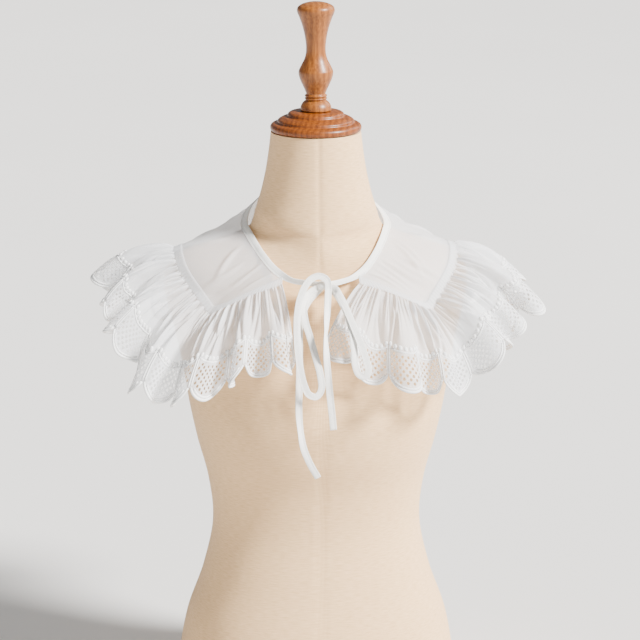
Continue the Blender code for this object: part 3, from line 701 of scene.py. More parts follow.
def close_up(shape: bmesh.types.BMesh, dist: float = MERGE) -> None:
    """Merge a shape's doubles, fill its holes and turn its faces outwards.

    Args:
        shape: The bmesh.
        dist: How near two vertices merge, in metres.
    """
    bmesh.ops.remove_doubles(shape, verts=shape.verts, dist=dist)
    bmesh.ops.holes_fill(shape, edges=shape.edges, sides=0)
    bmesh.ops.recalc_face_normals(shape, faces=shape.faces)


def pour(part: bmesh.types.BMesh, shape: bmesh.types.BMesh) -> None:
    """Move what a bmesh holds into another.

    Args:
        part: The bmesh that is used up.
        shape: The bmesh that takes it in.
    """
    mesh = bpy.data.meshes.new("part")
    part.to_mesh(mesh)
    part.free()
    shape.from_mesh(mesh)
    bpy.data.meshes.remove(mesh)


def flat_cord(shape: bmesh.types.BMesh, line: np.ndarray, width: float, height: float,
              around: int = 6) -> None:
    """Add a flattened cord along a line of the flat pattern, as high on one side of the cloth as the other.

    Args:
        shape: The bmesh that it is added to.
        line: Points along it, in metres.
        width: Its width, in metres.
        height: Its whole height, in metres.
        around: Its sides.
    """
    cord = cut_grid(len(line) - 1, around)
    along = headings(line)

    def place(flat: np.ndarray) -> np.ndarray:
        """From shares along and round the cord to the flat pattern.

        Args:
            flat: Rows of the two shares.

        Returns:
            Points of the flat pattern.
        """
        row = np.clip(np.round(flat[:, 0] * (len(line) - 1)).astype(int), 0, len(line) - 1)
        across, out = ring_profile(flat[:, 1], width / 2, height / 2)
        side = np.stack([-along[row, 1], along[row, 0]], axis=-1)
        return np.column_stack([line[row] + side * across[:, None], out])

    shift(cord, place)
    close_up(cord)
    pour(cord, shape)


def add_pebble(shape: bmesh.types.BMesh, place: tuple[float, float, float], size: tuple[float, float, float],
               finer: int = 1) -> None:
    """Add a small rounded dot or stitch.

    Args:
        shape: The bmesh that it is added to.
        place: Its middle.
        size: Its three sizes.
        finer: The icosphere's subdivisions.
    """
    matrix = Matrix.Translation(place) @ Matrix.Diagonal((*size, 1.0))
    bmesh.ops.create_icosphere(shape, subdivisions=finer, radius=0.5, matrix=matrix)


def drape(name: str, shape: bmesh.types.BMesh, place: Place, wrap: bool = False,
          flat_uv: Place | None = None) -> bpy.types.Object:
    """Turn a flat shape into a draped piece that keeps its flat pattern as a UV map.

    Args:
        name: The piece's name.
        shape: The flat shape, which is used up.
        place: From flat points to places in the frame.
        wrap: Whether its edges meet and are merged.
        flat_uv: From flat points to UVs in metres, or None for the flat points themselves.

    Returns:
        The new object.
    """
    mesh = bpy.data.meshes.new(name)
    shape.to_mesh(mesh)
    shape.free()
    flat = np.zeros(len(mesh.vertices) * 3)
    mesh.vertices.foreach_get("co", flat)
    flat = flat.reshape(-1, 3)
    corners = np.zeros(len(mesh.loops), int)
    mesh.loops.foreach_get("vertex_index", corners)
    pattern = flat[:, :2] if flat_uv is None else flat_uv(flat)
    mesh.uv_layers.new(name="flat").data.foreach_set("uv", pattern[corners].ravel())
    mesh.vertices.foreach_set("co", place(flat).ravel())
    if wrap:
        closed = bmesh.new()
        closed.from_mesh(mesh)
        close_up(closed, 2 * MERGE)
        closed.to_mesh(mesh)
        closed.free()
    mesh.update()
    mesh.shade_smooth()
    piece = bpy.data.objects.new(name, mesh)
    bpy.context.scene.collection.objects.link(piece)
    return piece


def give_wall(piece: bpy.types.Object, wall: float, group: str = "", thin_share: float = 1.0) -> None:
    """Give a sheet its wall, half on each side.

    Args:
        piece: The sheet.
        wall: The wall in metres.
        group: The vertex group whose members get the whole wall.
        thin_share: The share of the wall that the others get.
    """
    skin = piece.modifiers.new("Wall", "SOLIDIFY")
    skin.thickness = wall
    skin.offset = 0.0
    skin.use_rim = True
    if group:
        skin.vertex_group = group
        skin.thickness_vertex_group = thin_share


def set_density(piece: bpy.types.Object, values: np.ndarray | float) -> None:
    """Note how close a piece's cloth is at each point, from 0 where it is sheer to 1."""
    close = piece.data.attributes.new("density", "FLOAT", "POINT")
    close.data.foreach_set("value", np.full(len(piece.data.vertices), values))


def dress(piece: bpy.types.Object, material: bpy.types.Material, slot: Slot, *nodes: str) -> None:
    """Give a piece its finish, let it ride on the part and hide the CAD nodes that it stands for.

    Args:
        piece: The piece.
        material: Its finish.
        slot: Not used.
        *nodes: The CAD nodes that it stands for.
    """
    piece.data.materials.append(material)
    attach(piece, "root")
    if nodes:
        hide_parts(*nodes)
    log.info("%s: %d faces", piece.name, len(piece.data.polygons))


@dataclass
class TapeRun:
    """A folded tape's middle line and its own directions, which its cloth and its stitches follow."""

    line: np.ndarray
    side: np.ndarray
    front: np.ndarray
    widths: np.ndarray
    width: float
    wall: float
    finer: int = 3
    around: int = 28
    stitch: float = 1.9 * MM
    stitch_width: float = 0.4 * MM
    stitch_height: float = 0.3 * MM
    stitch_out: float = 0.3
    stitch_pitch: float = 2.6 * MM
    stitch_inset: float = 1.7 * MM
    stitch_sink: float = 0.8
    stitch_groove: float = 0.9 * MM
    pinch: float = 0.15
    squareness: float = 3.6
    curl: float = 0.3 * MM
    curl_run: float = 21 * MM
    at: np.ndarray = field(init=False)

    def __post_init__(self) -> None:
        """Add points between the given ones and measure along them."""
        rough = run_lengths(self.line)
        fine = np.linspace(0, rough[-1], (len(rough) - 1) * self.finer + 1)
        self.line = smooth_through(rough, self.line, fine)
        self.side = unit(np.stack([np.interp(fine, rough, part) for part in self.side.T], axis=-1))
        self.front = unit(np.stack([np.interp(fine, rough, part) for part in self.front.T], axis=-1))
        self.widths = np.interp(fine, rough, self.widths)
        self.at = run_lengths(self.line)

    def place(self, flat: np.ndarray) -> np.ndarray:
        """From metres along the tape, across it and out of it, to the place in the frame.

        Args:
            flat: Rows of the three distances.

        Returns:
            Places in the frame.
        """
        middle, across, out = (
            np.stack([np.interp(flat[:, 0], self.at, part[:, i]) for i in range(3)], axis=-1)
            for part in (self.line, self.side, self.front))
        share = np.interp(flat[:, 0], self.at, self.widths) / self.width
        curl = self.curl * np.sin(flat[:, 0] / self.curl_run) * (2 * flat[:, 1] / self.width) ** 2
        return middle + across * (flat[:, 1] * share)[:, None] + out * (flat[:, 2] + curl)[:, None]

    def build(self, name: str, tape: bpy.types.Material, nodes: Sequence[str]) -> bpy.types.Object:
        """The tape itself.

        Args:
            name: The piece's name.
            tape: Its finish.
            nodes: The CAD nodes that it stands for.

        Returns:
            The tape.
        """
        length = float(self.at[-1])

        def section(flat: np.ndarray) -> np.ndarray:
            """From shares along and round the tape to metres.

            Args:
                flat: Rows of the two shares.

            Returns:
                Rows of metres along, across and out.
            """
            across, out = ring_profile(flat[:, 1], self.width / 2, self.wall / 2, self.pinch, self.squareness)
            groove = np.exp(-((across - self.width / 2 + self.stitch_inset) / self.stitch_groove) ** 2)
            return np.stack([flat[:, 0] * length, across, out * (1 - self.stitch_sink * groove)], axis=-1)

        body = drape(name, cut_grid(len(self.at) - 1, self.around), lambda flat: self.place(section(flat)),
                     wrap=True, flat_uv=lambda flat: flat[:, :2] * np.array([length, 2 * self.width]))
        dress(body, tape, Slot.TAPE, *nodes)
        return body

    def build_stitches(self, name: str, thread: bpy.types.Material, faces: Sequence[int]) -> bpy.types.Object:
        """The row of stitches that closes the folded tape.

        Args:
            name: The piece's name.
            thread: Their finish.
            faces: The tape's faces that show them: 1 is its front and -1 its back.

        Returns:
            The stitches as one piece.
        """
        shape = bmesh.new()
        row = self.width / 2 - self.stitch_inset
        for spot in np.arange(self.stitch_pitch, self.at[-1] - self.stitch_pitch / 2, self.stitch_pitch):
            for face in faces:
                out = face * self.wall * self.stitch_out
                add_pebble(shape, (spot, row, out), (self.stitch, self.stitch_width, self.stitch_height))
        stitches = drape(name, shape, self.place)
        dress(stitches, thread, Slot.TAPE)
        return stitches


@dataclass
class DressForm:
    """The limbless linen dress form with its turned wooden cap and finial."""

    sides: int = 180
    levels: int = 230
    turned_sides: int = 72
    turned_samples: int = 4
    seam_depth: float = 0.9 * MM
    seam_width: float = 2.4 * MM
    neck_seam_front: float = 546.0 * MM
    neck_seam_slope: float = 0.358
    neck_seam_middle: float = -62.0 * MM
    side_seam: float = 4.0 * MM
    sharp_angle: float = 60.0
    heights: np.ndarray = field(init=False)
    values: np.ndarray = field(init=False)

    def __post_init__(self) -> None:
        """Read the sections into metres."""
        rows = np.array(FORM_SECTIONS)
        self.heights = rows[:, 0] * MM
        self.values = rows[:, 1:] * np.array([MM, MM, MM, 1])

    def level(self, points: np.ndarray) -> np.ndarray:
        """How far out of the form's own section each point lies: 1 is on the surface.

        Args:
            points: Places in the frame.

        Returns:
            One level for each.
        """
        section = smooth_through(self.heights, self.values, points[..., 2])
        depth = np.where(points[..., 1] < 0, section[..., 1], section[..., 2])
        power = section[..., 3]
        total = np.abs(points[..., 0] / section[..., 0]) ** power + np.abs(points[..., 1] / depth) ** power
        return total ** (1 / power)

    def slope(self, points: np.ndarray) -> np.ndarray:
        """The level's steepest rise at each point.

        Args:
            points: Places in the frame.

        Returns:
            One vector for each, in levels a metre.
        """
        probe = 0.5 * MM
        return np.stack([(self.level(points + probe * axis) - self.level(points - probe * axis)) / (2 * probe)
                         for axis in np.eye(3)], axis=-1)

    def lifted(self, points: np.ndarray, lift: float) -> np.ndarray:
        """Move points that lie nearer to the form than the lift out along its surface's slope.

        Args:
            points: Places in the frame.
            lift: The least distance from the form, in metres.

        Returns:
            The moved places.
        """
        rounds = 4
        for _ in range(rounds):
            slope = self.slope(points)
            steepness = np.linalg.norm(slope, axis=-1)
            short = np.maximum(lift - (self.level(points) - 1) / steepness, 0)
            points = points + unit(slope) * short[..., None]
        return points

    def groove(self, points: np.ndarray) -> np.ndarray:
        """How deep the sewn seams lie at each point: centre front and back, sides and neck base.

        Args:
            points: Places in the frame.

        Returns:
            One depth for each, in metres.
        """
        back = points[:, 1] - self.neck_seam_middle
        neck = points[:, 2] - self.neck_seam_front - self.neck_seam_slope * back
        below = neck < 0
        from_side = np.where(below, np.abs(points[:, 1] - self.side_seam), 1.0)
        upright = np.minimum(np.abs(points[:, 0]), from_side)
        return self.seam_depth * np.maximum(np.exp(-(upright / self.seam_width) ** 2),
                                            np.exp(-(neck / self.seam_width) ** 2))

    def section_at(self, share: np.ndarray) -> tuple[np.ndarray, np.ndarray]:
        """The height at this share of the form's own, and the section's four values there."""
        height = self.heights[0] + (self.heights[-1] - self.heights[0]) * share
        return height, smooth_through(self.heights, self.values, height).T

    def torso_place(self, flat: np.ndarray) -> np.ndarray:
        """From shares round and up the form to its surface, with the seams sunk in.

        Args:
            flat: Rows of the two shares.

        Returns:
            Places in the frame.
        """
        angle = 2 * math.pi * flat[:, 0] + math.pi / 2
        height, (half_width, front, back, power) = self.section_at(flat[:, 1])
        across, deep = bent(np.cos(angle), 2 / power), bent(np.sin(angle), 2 / power)
        points = np.stack([half_width * across, np.where(deep < 0, front, back) * deep, height], axis=-1)
        inner = np.clip(np.minimum(flat[:, 1], 1 - flat[:, 1]) * self.levels, 0, 1)
        return points - unit(self.slope(points)) * (self.groove(points) * inner)[:, None]

    def torso_uv(self, flat: np.ndarray) -> np.ndarray:
        """The linen's own threads: level round the form at its true size, and upright.

        Args:
            flat: Rows of shares round and up the form.

        Returns:
            UVs in metres.
        """
        height, (half_width, front, back, _) = self.section_at(flat[:, 1])
        round_it = math.pi * (half_width + (front + back) / 2)
        return np.stack([(flat[:, 0] - 0.5) * round_it, height], axis=-1)

    def turned(self, name: str, profile: Sequence[TurnedPoint]) -> bpy.types.Object:
        """Spin a smooth curve through the profile about the form's upright axis.

        Args:
            name: The piece's name.
            profile: The profile from the bottom up.

        Returns:
            The turned piece.
        """
        rows = np.array(profile) * MM
        lengths = run_lengths(rows)
        samples = np.unique(np.concatenate([np.linspace(a, b, self.turned_samples + 1)
                                            for a, b in zip(lengths, lengths[1:])]))
        curve = smooth_through(lengths, rows, samples)
        curve = np.vstack([[0.0, curve[0, 1]], curve, [0.0, curve[-1, 1]]])
        shape = bmesh.new()
        verts = [shape.verts.new((radius, 0.0, height)) for radius, height in curve]
        edges = [shape.edges.new(pair) for pair in zip(verts, verts[1:])]
        bmesh.ops.spin(shape, geom=verts + edges, cent=(0, 0, 0), axis=(0, 0, 1), angle=2 * math.pi,
                       steps=self.turned_sides, use_merge=True)
        close_up(shape)
        return drape(name, shape, lambda flat: flat)

    def build(self) -> None:
        """Build and dress the torso, the cap and the finial."""
        torso = drape("linen_torso", cut_grid(self.sides, self.levels), self.torso_place, wrap=True,
                      flat_uv=self.torso_uv)
        torso.data.set_sharp_from_angle(angle=math.radians(self.sharp_angle))
        dress(torso, LINEN.make(), Slot.LINEN, "form_torso")
        dress(self.turned("turned_neck_cap", CAP_PROFILE), STAINED_BEECH.make(), Slot.WOOD, "form_neck_cap")
        dress(self.turned("turned_finial", FINIAL_PROFILE), HONEY_BEECH.make(), Slot.WOOD, "form_finial")


@dataclass
class Yoke:
    """The sheer yoke with its turned seam allowance and the tape that binds its neck edge."""

    form: DressForm
    lobes: int = 48
    lift: float = 2.0 * MM
    wall: float = 0.5 * MM
    columns_per_lobe: int = 13
    rows: int = 30
    binding_width: float = 8.5 * MM
    binding_wall: float = 1.6 * MM
    joint_points: int = 2
    joint_easing: int = 12
    joint_reach: int = 16
    allowance: float = 9.5 * MM
    past_seam: float = 2.0 * MM
    allowance_rise: float = 0.5 * MM
    allowance_ripple: float = 0.22 * MM
    allowance_density: float = 0.8
    edge_samples: int = 16
    binding_inset: float = 0.15
    square_up: float = 1.2
    wrinkle_rise: float = 2.3
    wrinkle_width: float = 0.042
    wrinkle_field: float = 3.0
    cut_width: float = 80.0 * MM
    edge_lobes: np.ndarray = field(init=False)
    seam_edge: np.ndarray = field(init=False)
    neck_edge: np.ndarray = field(init=False)

    def __post_init__(self) -> None:
        """Lay both edges on the form, from the left front round the back to the right front."""
        half = np.array(YOKE_STATIONS) * MM
        left = half * np.array([-1, 1, 1, -1, 1, 1])
        rows = np.vstack([left, half[-2::-1]])
        lengths = run_lengths(rows[:, :3])
        lobes = lengths * self.lobes / lengths[-1]
        self.edge_lobes = np.linspace(0, self.lobes, self.lobes * self.edge_samples + 1)
        self.seam_edge = self.form.lifted(smooth_through(lobes, rows[:, :3], self.edge_lobes), self.lift)
        self.neck_edge = self.form.lifted(smooth_through(lobes, rows[:, 3:], self.edge_lobes), self.lift)

    def seam_point(self, lobe: np.ndarray) -> np.ndarray:
        """The point of the yoke's outer edge at this lobe."""
        return smooth_through(self.edge_lobes, self.seam_edge, lobe)

    def neck_point(self, lobe: np.ndarray) -> np.ndarray:
        """The point of the neck edge at this lobe."""
        return smooth_through(self.edge_lobes, self.neck_edge, lobe)

    def wrinkles(self, lobe: np.ndarray, share: np.ndarray) -> np.ndarray:
        """How far the yoke's soft ridges stand off the form.

        Args:
            lobe: Places along the yoke's outer edge, in lobes.
            share: Shares of its width, from the neck edge.

        Returns:
            One height for each, in metres.
        """
        total = np.zeros_like(lobe)
        # Where each run of ridges starts, in lobes, and which way and how far it is stretched
        runs = ((0.0, 1.0), (self.lobes, -1.0), (self.lobes - 1.3, -0.9))
        field_size = np.array([1.0, self.wrinkle_field])
        for start, sign in runs:
            for row in WRINKLES:
                begin = np.array([start + sign * row.lobe, row.share]) * field_size
                reach = np.array([start + sign * row.end_lobe, row.end_share]) * field_size - begin
                spot = np.stack([lobe, share], axis=-1) * field_size - begin
                t = np.clip(spot @ reach / (reach @ reach), 0, 1)
                off = np.linalg.norm(spot - t[:, None] * reach, axis=1)
                ridge = np.sin(math.pi * t) * np.exp(-(off / (row.width * self.wrinkle_width)) ** 2)
                total += self.wrinkle_rise * row.rise * MM * ridge
        return total

    def on_form(self, points: np.ndarray, out: np.ndarray) -> np.ndarray:
        """Lift points to the yoke's height over the form, and then further out."""
        lifted = self.form.lifted(points, self.lift)
        return lifted + unit(self.form.slope(lifted)) * out[:, None]

    def cloth_place(self, flat: np.ndarray) -> np.ndarray:
        """From a lobe and a share of the yoke's width to its place on the form.

        Args:
            flat: Rows of a lobe, a share and a height in metres.

        Returns:
            Places in the frame.
        """
        lobe, share = flat[:, 0], flat[:, 1]
        neck, seam = self.neck_point(lobe), self.seam_point(lobe)
        inner = neck + unit(seam - neck) * (self.binding_width * 0.5)
        edge_fade = 6
        edge = np.clip(np.minimum(share, 1 - share) * edge_fade, 0, 1)
        out = flat[:, 2] + edge * self.wrinkles(lobe, share)
        return self.on_form(inner + (seam - inner) * share[:, None], out)

    def cloth_uv(self, flat: np.ndarray) -> np.ndarray:
        """The yoke's threads at their true size."""
        seam_length = run_lengths(self.seam_edge)[-1]
        return np.stack([flat[:, 0] / self.lobes * seam_length, flat[:, 1] * self.cut_width], axis=-1)

    def allowance_place(self, flat: np.ndarray) -> np.ndarray:
        """From a lobe and a distance from the seam to the gathered allowance along the yoke's edge.

        Args:
            flat: Rows of a lobe, a distance and a height in metres.

        Returns:
            Places in the frame.
        """
        lobe, reach = flat[:, 0], flat[:, 1]
        neck, seam = self.neck_point(lobe), self.seam_point(lobe)
        gathers_per_lobe = 4.5
        turn = 2 * math.pi * gathers_per_lobe * lobe + waves(ALLOWANCE_WANDER, lobe)
        out = flat[:, 2] + self.allowance_ripple * np.sin(turn) + self.allowance_rise
        return self.on_form(seam + unit(neck - seam) * reach[:, None], out)

    def binding_run(self, left: TapeRun, right: TapeRun) -> TapeRun:
        """The binding's tape, from the knot along the left tie, round the neck and back along the right tie.

        Args:
            left: The left tie from the binding to the knot.
            right: The right tie from the binding to the knot.

        Returns:
            The whole run.
        """
        lobe = np.linspace(self.binding_inset, self.lobes - self.binding_inset, self.lobes * 4 + 1)
        neck, seam = self.neck_point(lobe), self.seam_point(lobe)
        across = unit(seam - neck)
        proud = np.full(len(lobe), (self.binding_wall - 1.0 * MM) / 2)
        line = self.on_form(neck + across * self.binding_width / 2, proud)
        front = unit(self.form.slope(line))
        upright = unit(np.cross(front, headings(line)))
        square = np.clip(np.minimum(lobe, self.lobes - lobe) / self.square_up, 0, 1)[:, None]
        side = unit(upright * (1 - square) + across * square)
        widths = np.full(len(lobe), self.binding_width)
        skip = self.joint_points
        line, side, front, widths = (
            np.concatenate([first[:skip:-1], middle, last[skip + 1 :]]) for first, middle, last in
            ((left.line, line, right.line), (left.side, side, right.side), (left.front, front, right.front),
             (left.widths, widths, right.widths)))
        for _ in range(self.joint_easing):
            for values in (side, front, widths):
                values[1:-1] = eased(values)
        reach = self.joint_reach
        for near in (np.arange(3, len(left.line) + reach),
                     np.arange(len(line) - len(right.line) - reach, len(line) - 3)):
            for _ in range(self.joint_easing):
                line[near] = (line[near - 1] + 2 * line[near] + line[near + 1]) / 4
        front = squared(front, headings(line))
        return TapeRun(line, side, front, widths, self.binding_width, self.binding_wall, finer=2)

    def build_cloth(self, voile: bpy.types.Material) -> bpy.types.Object:
        """The sheer panel.

        Args:
            voile: Its finish.

        Returns:
            The panel.
        """
        shape = cut_grid(self.lobes * self.columns_per_lobe, self.rows)
        shift(shape, lambda flat: flat * np.array([self.lobes, 1, 1]))
        panel = drape("voile_yoke", shape, self.cloth_place, flat_uv=self.cloth_uv)
        give_wall(panel, self.wall)
        dress(panel, voile, Slot.VOILE, "yoke")
        return panel

    def build_allowance(self, voile: bpy.types.Material) -> bpy.types.Object:
        """The gathered seam allowance that shows white along the yoke's edge.

        Args:
            voile: Its finish.

        Returns:
            The strip.
        """
        columns_per_lobe, rows, lobe_pitch = 18, 4, 52 * MM
        shape = cut_grid(self.lobes * columns_per_lobe, rows)
        tucked = self.allowance + self.past_seam
        shift(shape, lambda flat: flat * np.array([self.lobes, tucked, 1]) - np.array([0, self.past_seam, 0]))
        strip = drape("seam_allowance", shape, self.allowance_place,
                      flat_uv=lambda flat: flat[:, :2] * np.array([lobe_pitch, 1]))
        give_wall(strip, self.wall)
        set_density(strip, self.allowance_density)
        dress(strip, voile, Slot.VOILE)
        return strip

    def flat_area(self) -> float:
        """The yoke's cut area, in square metres.

        Returns:
            The area.
        """
        steps = self.seam_edge[1:] - self.seam_edge[:-1]
        across = self.seam_edge - self.neck_edge
        neck_steps = self.neck_edge[1:] - self.neck_edge[:-1]
        halves = (np.cross(steps, across[1:]), np.cross(neck_steps, across[:-1]))
        return float(sum(np.linalg.norm(half, axis=1).sum() / 2 for half in halves))

    def build(self, voile: bpy.types.Material, tape: bpy.types.Material, thread: bpy.types.Material,
              ties: tuple[TapeRun, TapeRun]) -> None:
        """Args:
            voile: The sheer cloth.
            tape: The binding's finish.
            thread: The stitches' finish.
            ties: The binding's free ends, from the neck to the knot.
        """
        panel = self.build_cloth(voile)
        strip = self.build_allowance(voile)
        run = self.binding_run(*ties)
        binding = run.build("neck_tape", tape, ("neck_binding", "tie_left", "tie_right"))
        stitches = run.build_stitches("neck_stitches", thread, (1,))


@dataclass
class Ruffle:
    """The gathered strip of voile with its scalloped border of eyelet lace."""

    yoke: Yoke
    lobe_pitch: float = 52.0 * MM
    lobe_depth: float = 17.0 * MM
    strip_width: float = 112.0 * MM
    wall: float = 0.6 * MM
    thin_share: float = 0.7
    seam_start: float = 0.9 * MM
    gather_at_seam: float = 0.7 * MM
    gather_height: float = 2.9 * MM
    gather_fade: float = 0.72
    gather_swell: float = 0.1
    broad_per_lobe: float = 2.0
    fold_fade_in: float = 1.15
    fold_middle: float = 15.0 * MM
    fold_flatness: float = 1.45
    samples_per_lobe: int = 40
    fine_per_lobe: float = 4.6
    fine_height: float = 2.2 * MM
    fine_ridge: float = 0.55
    fine_valley: float = 1.9
    fine_reach: float = 0.42
    fine_reach_swing: float = 0.17
    fine_narrowness: float = 2.2
    fine_at_seam: float = 0.3
    fine_grown: float = 0.06
    fade_power: float = 0.8
    doubled: float = 0.5
    crease_scale: float = 2.2
    crease_ridge: float = 0.45
    crease_ridge_off: float = 1.9
    crease_ridge_width: float = 1.3
    cup_start: float = 0.6
    lace_start: float = 60.0 * MM
    cells: int = 14
    hole: float = 3.35 * MM
    eyelets_per_lobe: int = 46
    eyelet_arc_gap: float = 6.2 * MM
    eyelet_side_gap: float = 4.4 * MM
    eyelet_garland_gap: float = 3.0 * MM
    eyelet_corner_reach: float = 6.0 * MM
    voile_rows: int = 13
    arc_steps: int = 14
    arc_points: int = 19
    notch_cut: float = 1.2
    garland_cusp: float = 64.0 * MM
    garland_dip: float = 72.0 * MM
    dots_per_lobe: int = 7
    dot: float = 5.8 * MM
    dot_height: float = 2.6 * MM
    dot_gap: float = 1.3 * MM
    rim_width: float = 2.7 * MM
    rim_height: float = 1.9 * MM
    rim_inset: float = 1.1 * MM
    second_rim_width: float = 2.1 * MM
    second_rim_inset: float = 4.0 * MM
    line_width: float = 2.0 * MM
    line_height: float = 1.5 * MM
    line_inset: float = 1.5 * MM
    hem_width: float = 2.8 * MM
    hem_height: float = 1.1 * MM
    hem_density: float = 0.8
    seam_density: float = 0.35
    seam_reach: float = 6.0 * MM
    border_start: float = -3.5 * MM
    border_end: float = 1.0 * MM
    middle_gap: float = 0.45 * MM
    seam_pitch: float = 17.0 * MM
    clear: float = 0.9 * MM
    probe: float = 0.006
    fall_lobes: np.ndarray = field(init=False)
    fall_values: np.ndarray = field(init=False)
    fold_strip: np.ndarray = field(init=False)
    fold_place: np.ndarray = field(init=False)
    fold_height: np.ndarray = field(init=False)
    creases: np.ndarray = field(init=False)

    def __post_init__(self) -> None:
        """Read the fall and work out the hem's folds and the creases all round."""
        rows = np.array(FALL_STATIONS)
        self.fall_lobes = rows[:, 0]
        self.fall_values = rows[:, 1:] * np.array([MM, MM, 1, MM])
        self.fold_strip, self.fold_place, self.fold_height = self.hem_folds()
        # Where each run of creases starts, in lobes, and its direction
        turns = ((0.0, 1.0), (24.0, -1.0), (24.3, 1.0), (48.0, -1.0))
        self.creases = np.array([
            (start + sign * row.lobe, sign * row.lean, row.start, row.end, row.width, row.sink * MM)
            for start, sign in turns for row in CREASES])

    @property
    def radius(self) -> float:
        """The radius of a lobe's round edge."""
        half = self.lobe_pitch / 2
        return (half * half + self.lobe_depth * self.lobe_depth) / (2 * self.lobe_depth)

    def fall_point(self, lobe: np.ndarray, depth: np.ndarray) -> np.ndarray:
        """The ruffle's mean surface: depth 0 is the seam and 1 the lobe tips.

        Args:
            lobe: Places along the hem, in lobes.
            depth: Depths from the seam to the tips.

        Returns:
            Places in the frame.
        """
        lobe, depth = np.broadcast_arrays(lobe, depth)
        seam = self.yoke.seam_point(lobe)
        values = smooth_through(self.fall_lobes, self.fall_values, lobe)
        reach, drop, heading, arch = np.moveaxis(values, -1, 0)
        angle = np.radians(heading)
        out = np.stack([-np.sin(angle), -np.cos(angle), np.zeros_like(angle)], axis=-1)
        up = np.array([0.0, 0.0, 1.0])
        length = np.hypot(reach, drop)
        hem = seam + reach[..., None] * out - drop[..., None] * up
        bulge = (drop / length)[..., None] * out + (reach / length)[..., None] * up
        middle = (seam + hem) / 2 + 2 * arch[..., None] * bulge
        t = depth[..., None]
        return (1 - t) ** 2 * seam + 2 * t * (1 - t) * middle + t * t * hem

    def fall_normal(self, lobe: np.ndarray, depth: np.ndarray) -> np.ndarray:
        """The outward normal of the ruffle's mean surface.

        Args:
            lobe: Places along the hem, in lobes.
            depth: Depths from the seam to the tips.

        Returns:
            One unit vector for each.
        """
        step = 0.05
        along = self.fall_point(lobe + step, depth) - self.fall_point(lobe - step, depth)
        down = self.fall_point(lobe, depth + step) - self.fall_point(lobe, depth - step)
        return unit(np.cross(along, down))

    def turning(self, fractions: np.ndarray) -> np.ndarray:
        """How a fold's cloth turns out and back along its width, flat at the crest and in the valleys."""
        return bent(np.sin(2 * math.pi * fractions), self.fold_flatness)

    def meander(self, share: float) -> float:
        """The swing, in radians, of a fold whose ends lie this share of its cloth apart.

        Args:
            share: The distance between its ends over its cloth's length.

        Returns:
            The swing.
        """
        low, high = 0.0, 1.9
        samples, halvings = 64, 30
        turns = self.turning((np.arange(samples) + 0.5) / samples)
        for _ in range(halvings):
            swing = (low + high) / 2
            if np.cos(swing * turns).mean() > share:
                low = swing
            else:
                high = swing
        return swing

    def hem_folds(self) -> tuple[np.ndarray, np.ndarray, np.ndarray]:
        """Work out the hem's folds.

        Returns:
            Strip positions in lobes, and for each its place along the hem and its height.
        """
        place, height, strip = [0.0], [0.0], [0.0]
        start = 0.0
        for width, lean in FOLDS:
            count = int(round(width * self.samples_per_lobe))
            fractions = (np.arange(count) + 0.5) / count
            hem = self.fall_point(np.linspace(start, start + width, count), np.ones(count))
            spacing = run_lengths(hem)[-1]
            swing = self.meander(min(spacing / (width * self.lobe_pitch), 1.0))
            turn = swing * self.turning(fractions)
            forward = np.cumsum(np.cos(turn)) / np.cos(turn).sum()
            rise = np.cumsum(np.sin(turn)) * width * self.lobe_pitch / count
            place.extend(start + width * forward + lean * rise * width / spacing)
            height.extend(rise)
            strip.extend(start + width * (np.arange(count) + 1) / count)
            start += width
        return np.array(strip), np.array(place), np.array(height)

    def fine_gathers(self, strip: np.ndarray, depth: np.ndarray) -> tuple[np.ndarray, np.ndarray]:
        """The fine gathers, every other one short, so that they merge on their way down.

        Args:
            strip: Places along the flat strip, in lobes.
            depth: Depths from the seam to the tips.

        Returns:
            How strong they are at each point, and their wave from 0 on a ridge to 1 in a narrow valley.
        """
        turn = 2 * math.pi * self.fine_per_lobe * strip + waves(FINE_WANDER, strip)
        turn = turn + depth * waves(FINE_LEAN, strip, depth)
        every_other = np.sin(turn / 2 + 0.8)
        reach = self.fine_reach + self.fine_reach_swing * every_other + waves(FINE_REACH, strip)
        grown = self.fine_at_seam + (1 - self.fine_at_seam) * soft_step(0.0, self.fine_grown, depth)
        window = np.clip(1 - depth / reach, 0, 1) ** self.fade_power * grown
        swell = FINE_SWELL.size * np.sin(FINE_SWELL.rate * strip + waves(FINE_SWAY, strip))
        uneven = 1 + swell + waves(FINE_STRENGTH, strip)
        return uneven * window, (0.5 - 0.5 * np.sin(turn)) ** self.fine_narrowness

    def gathers(self, strip: np.ndarray, depth: np.ndarray) -> np.ndarray:
        """How far the gathers at the seam stand in and out: broad ones, and fine narrow ones between them.

        Args:
            strip: Places along the flat strip, in lobes.
            depth: Depths from the seam to the tips.

        Returns:
            One height for each, in metres.
        """
        fade = np.clip(1 - depth / self.gather_fade, 0, 1)
        swell = np.clip(depth / self.gather_swell, 0, 1)
        broad = (self.gather_at_seam + (self.gather_height - self.gather_at_seam) * swell) * fade
        turn = 2 * math.pi * self.broad_per_lobe * strip + swell * waves(BROAD_WANDER, strip)
        broad = broad * (1 + waves(BROAD_STRENGTH, strip)) * np.sin(turn)
        strength, valley = self.fine_gathers(strip, depth)
        return broad + self.fine_height * strength * (self.fine_ridge - self.fine_valley * valley)

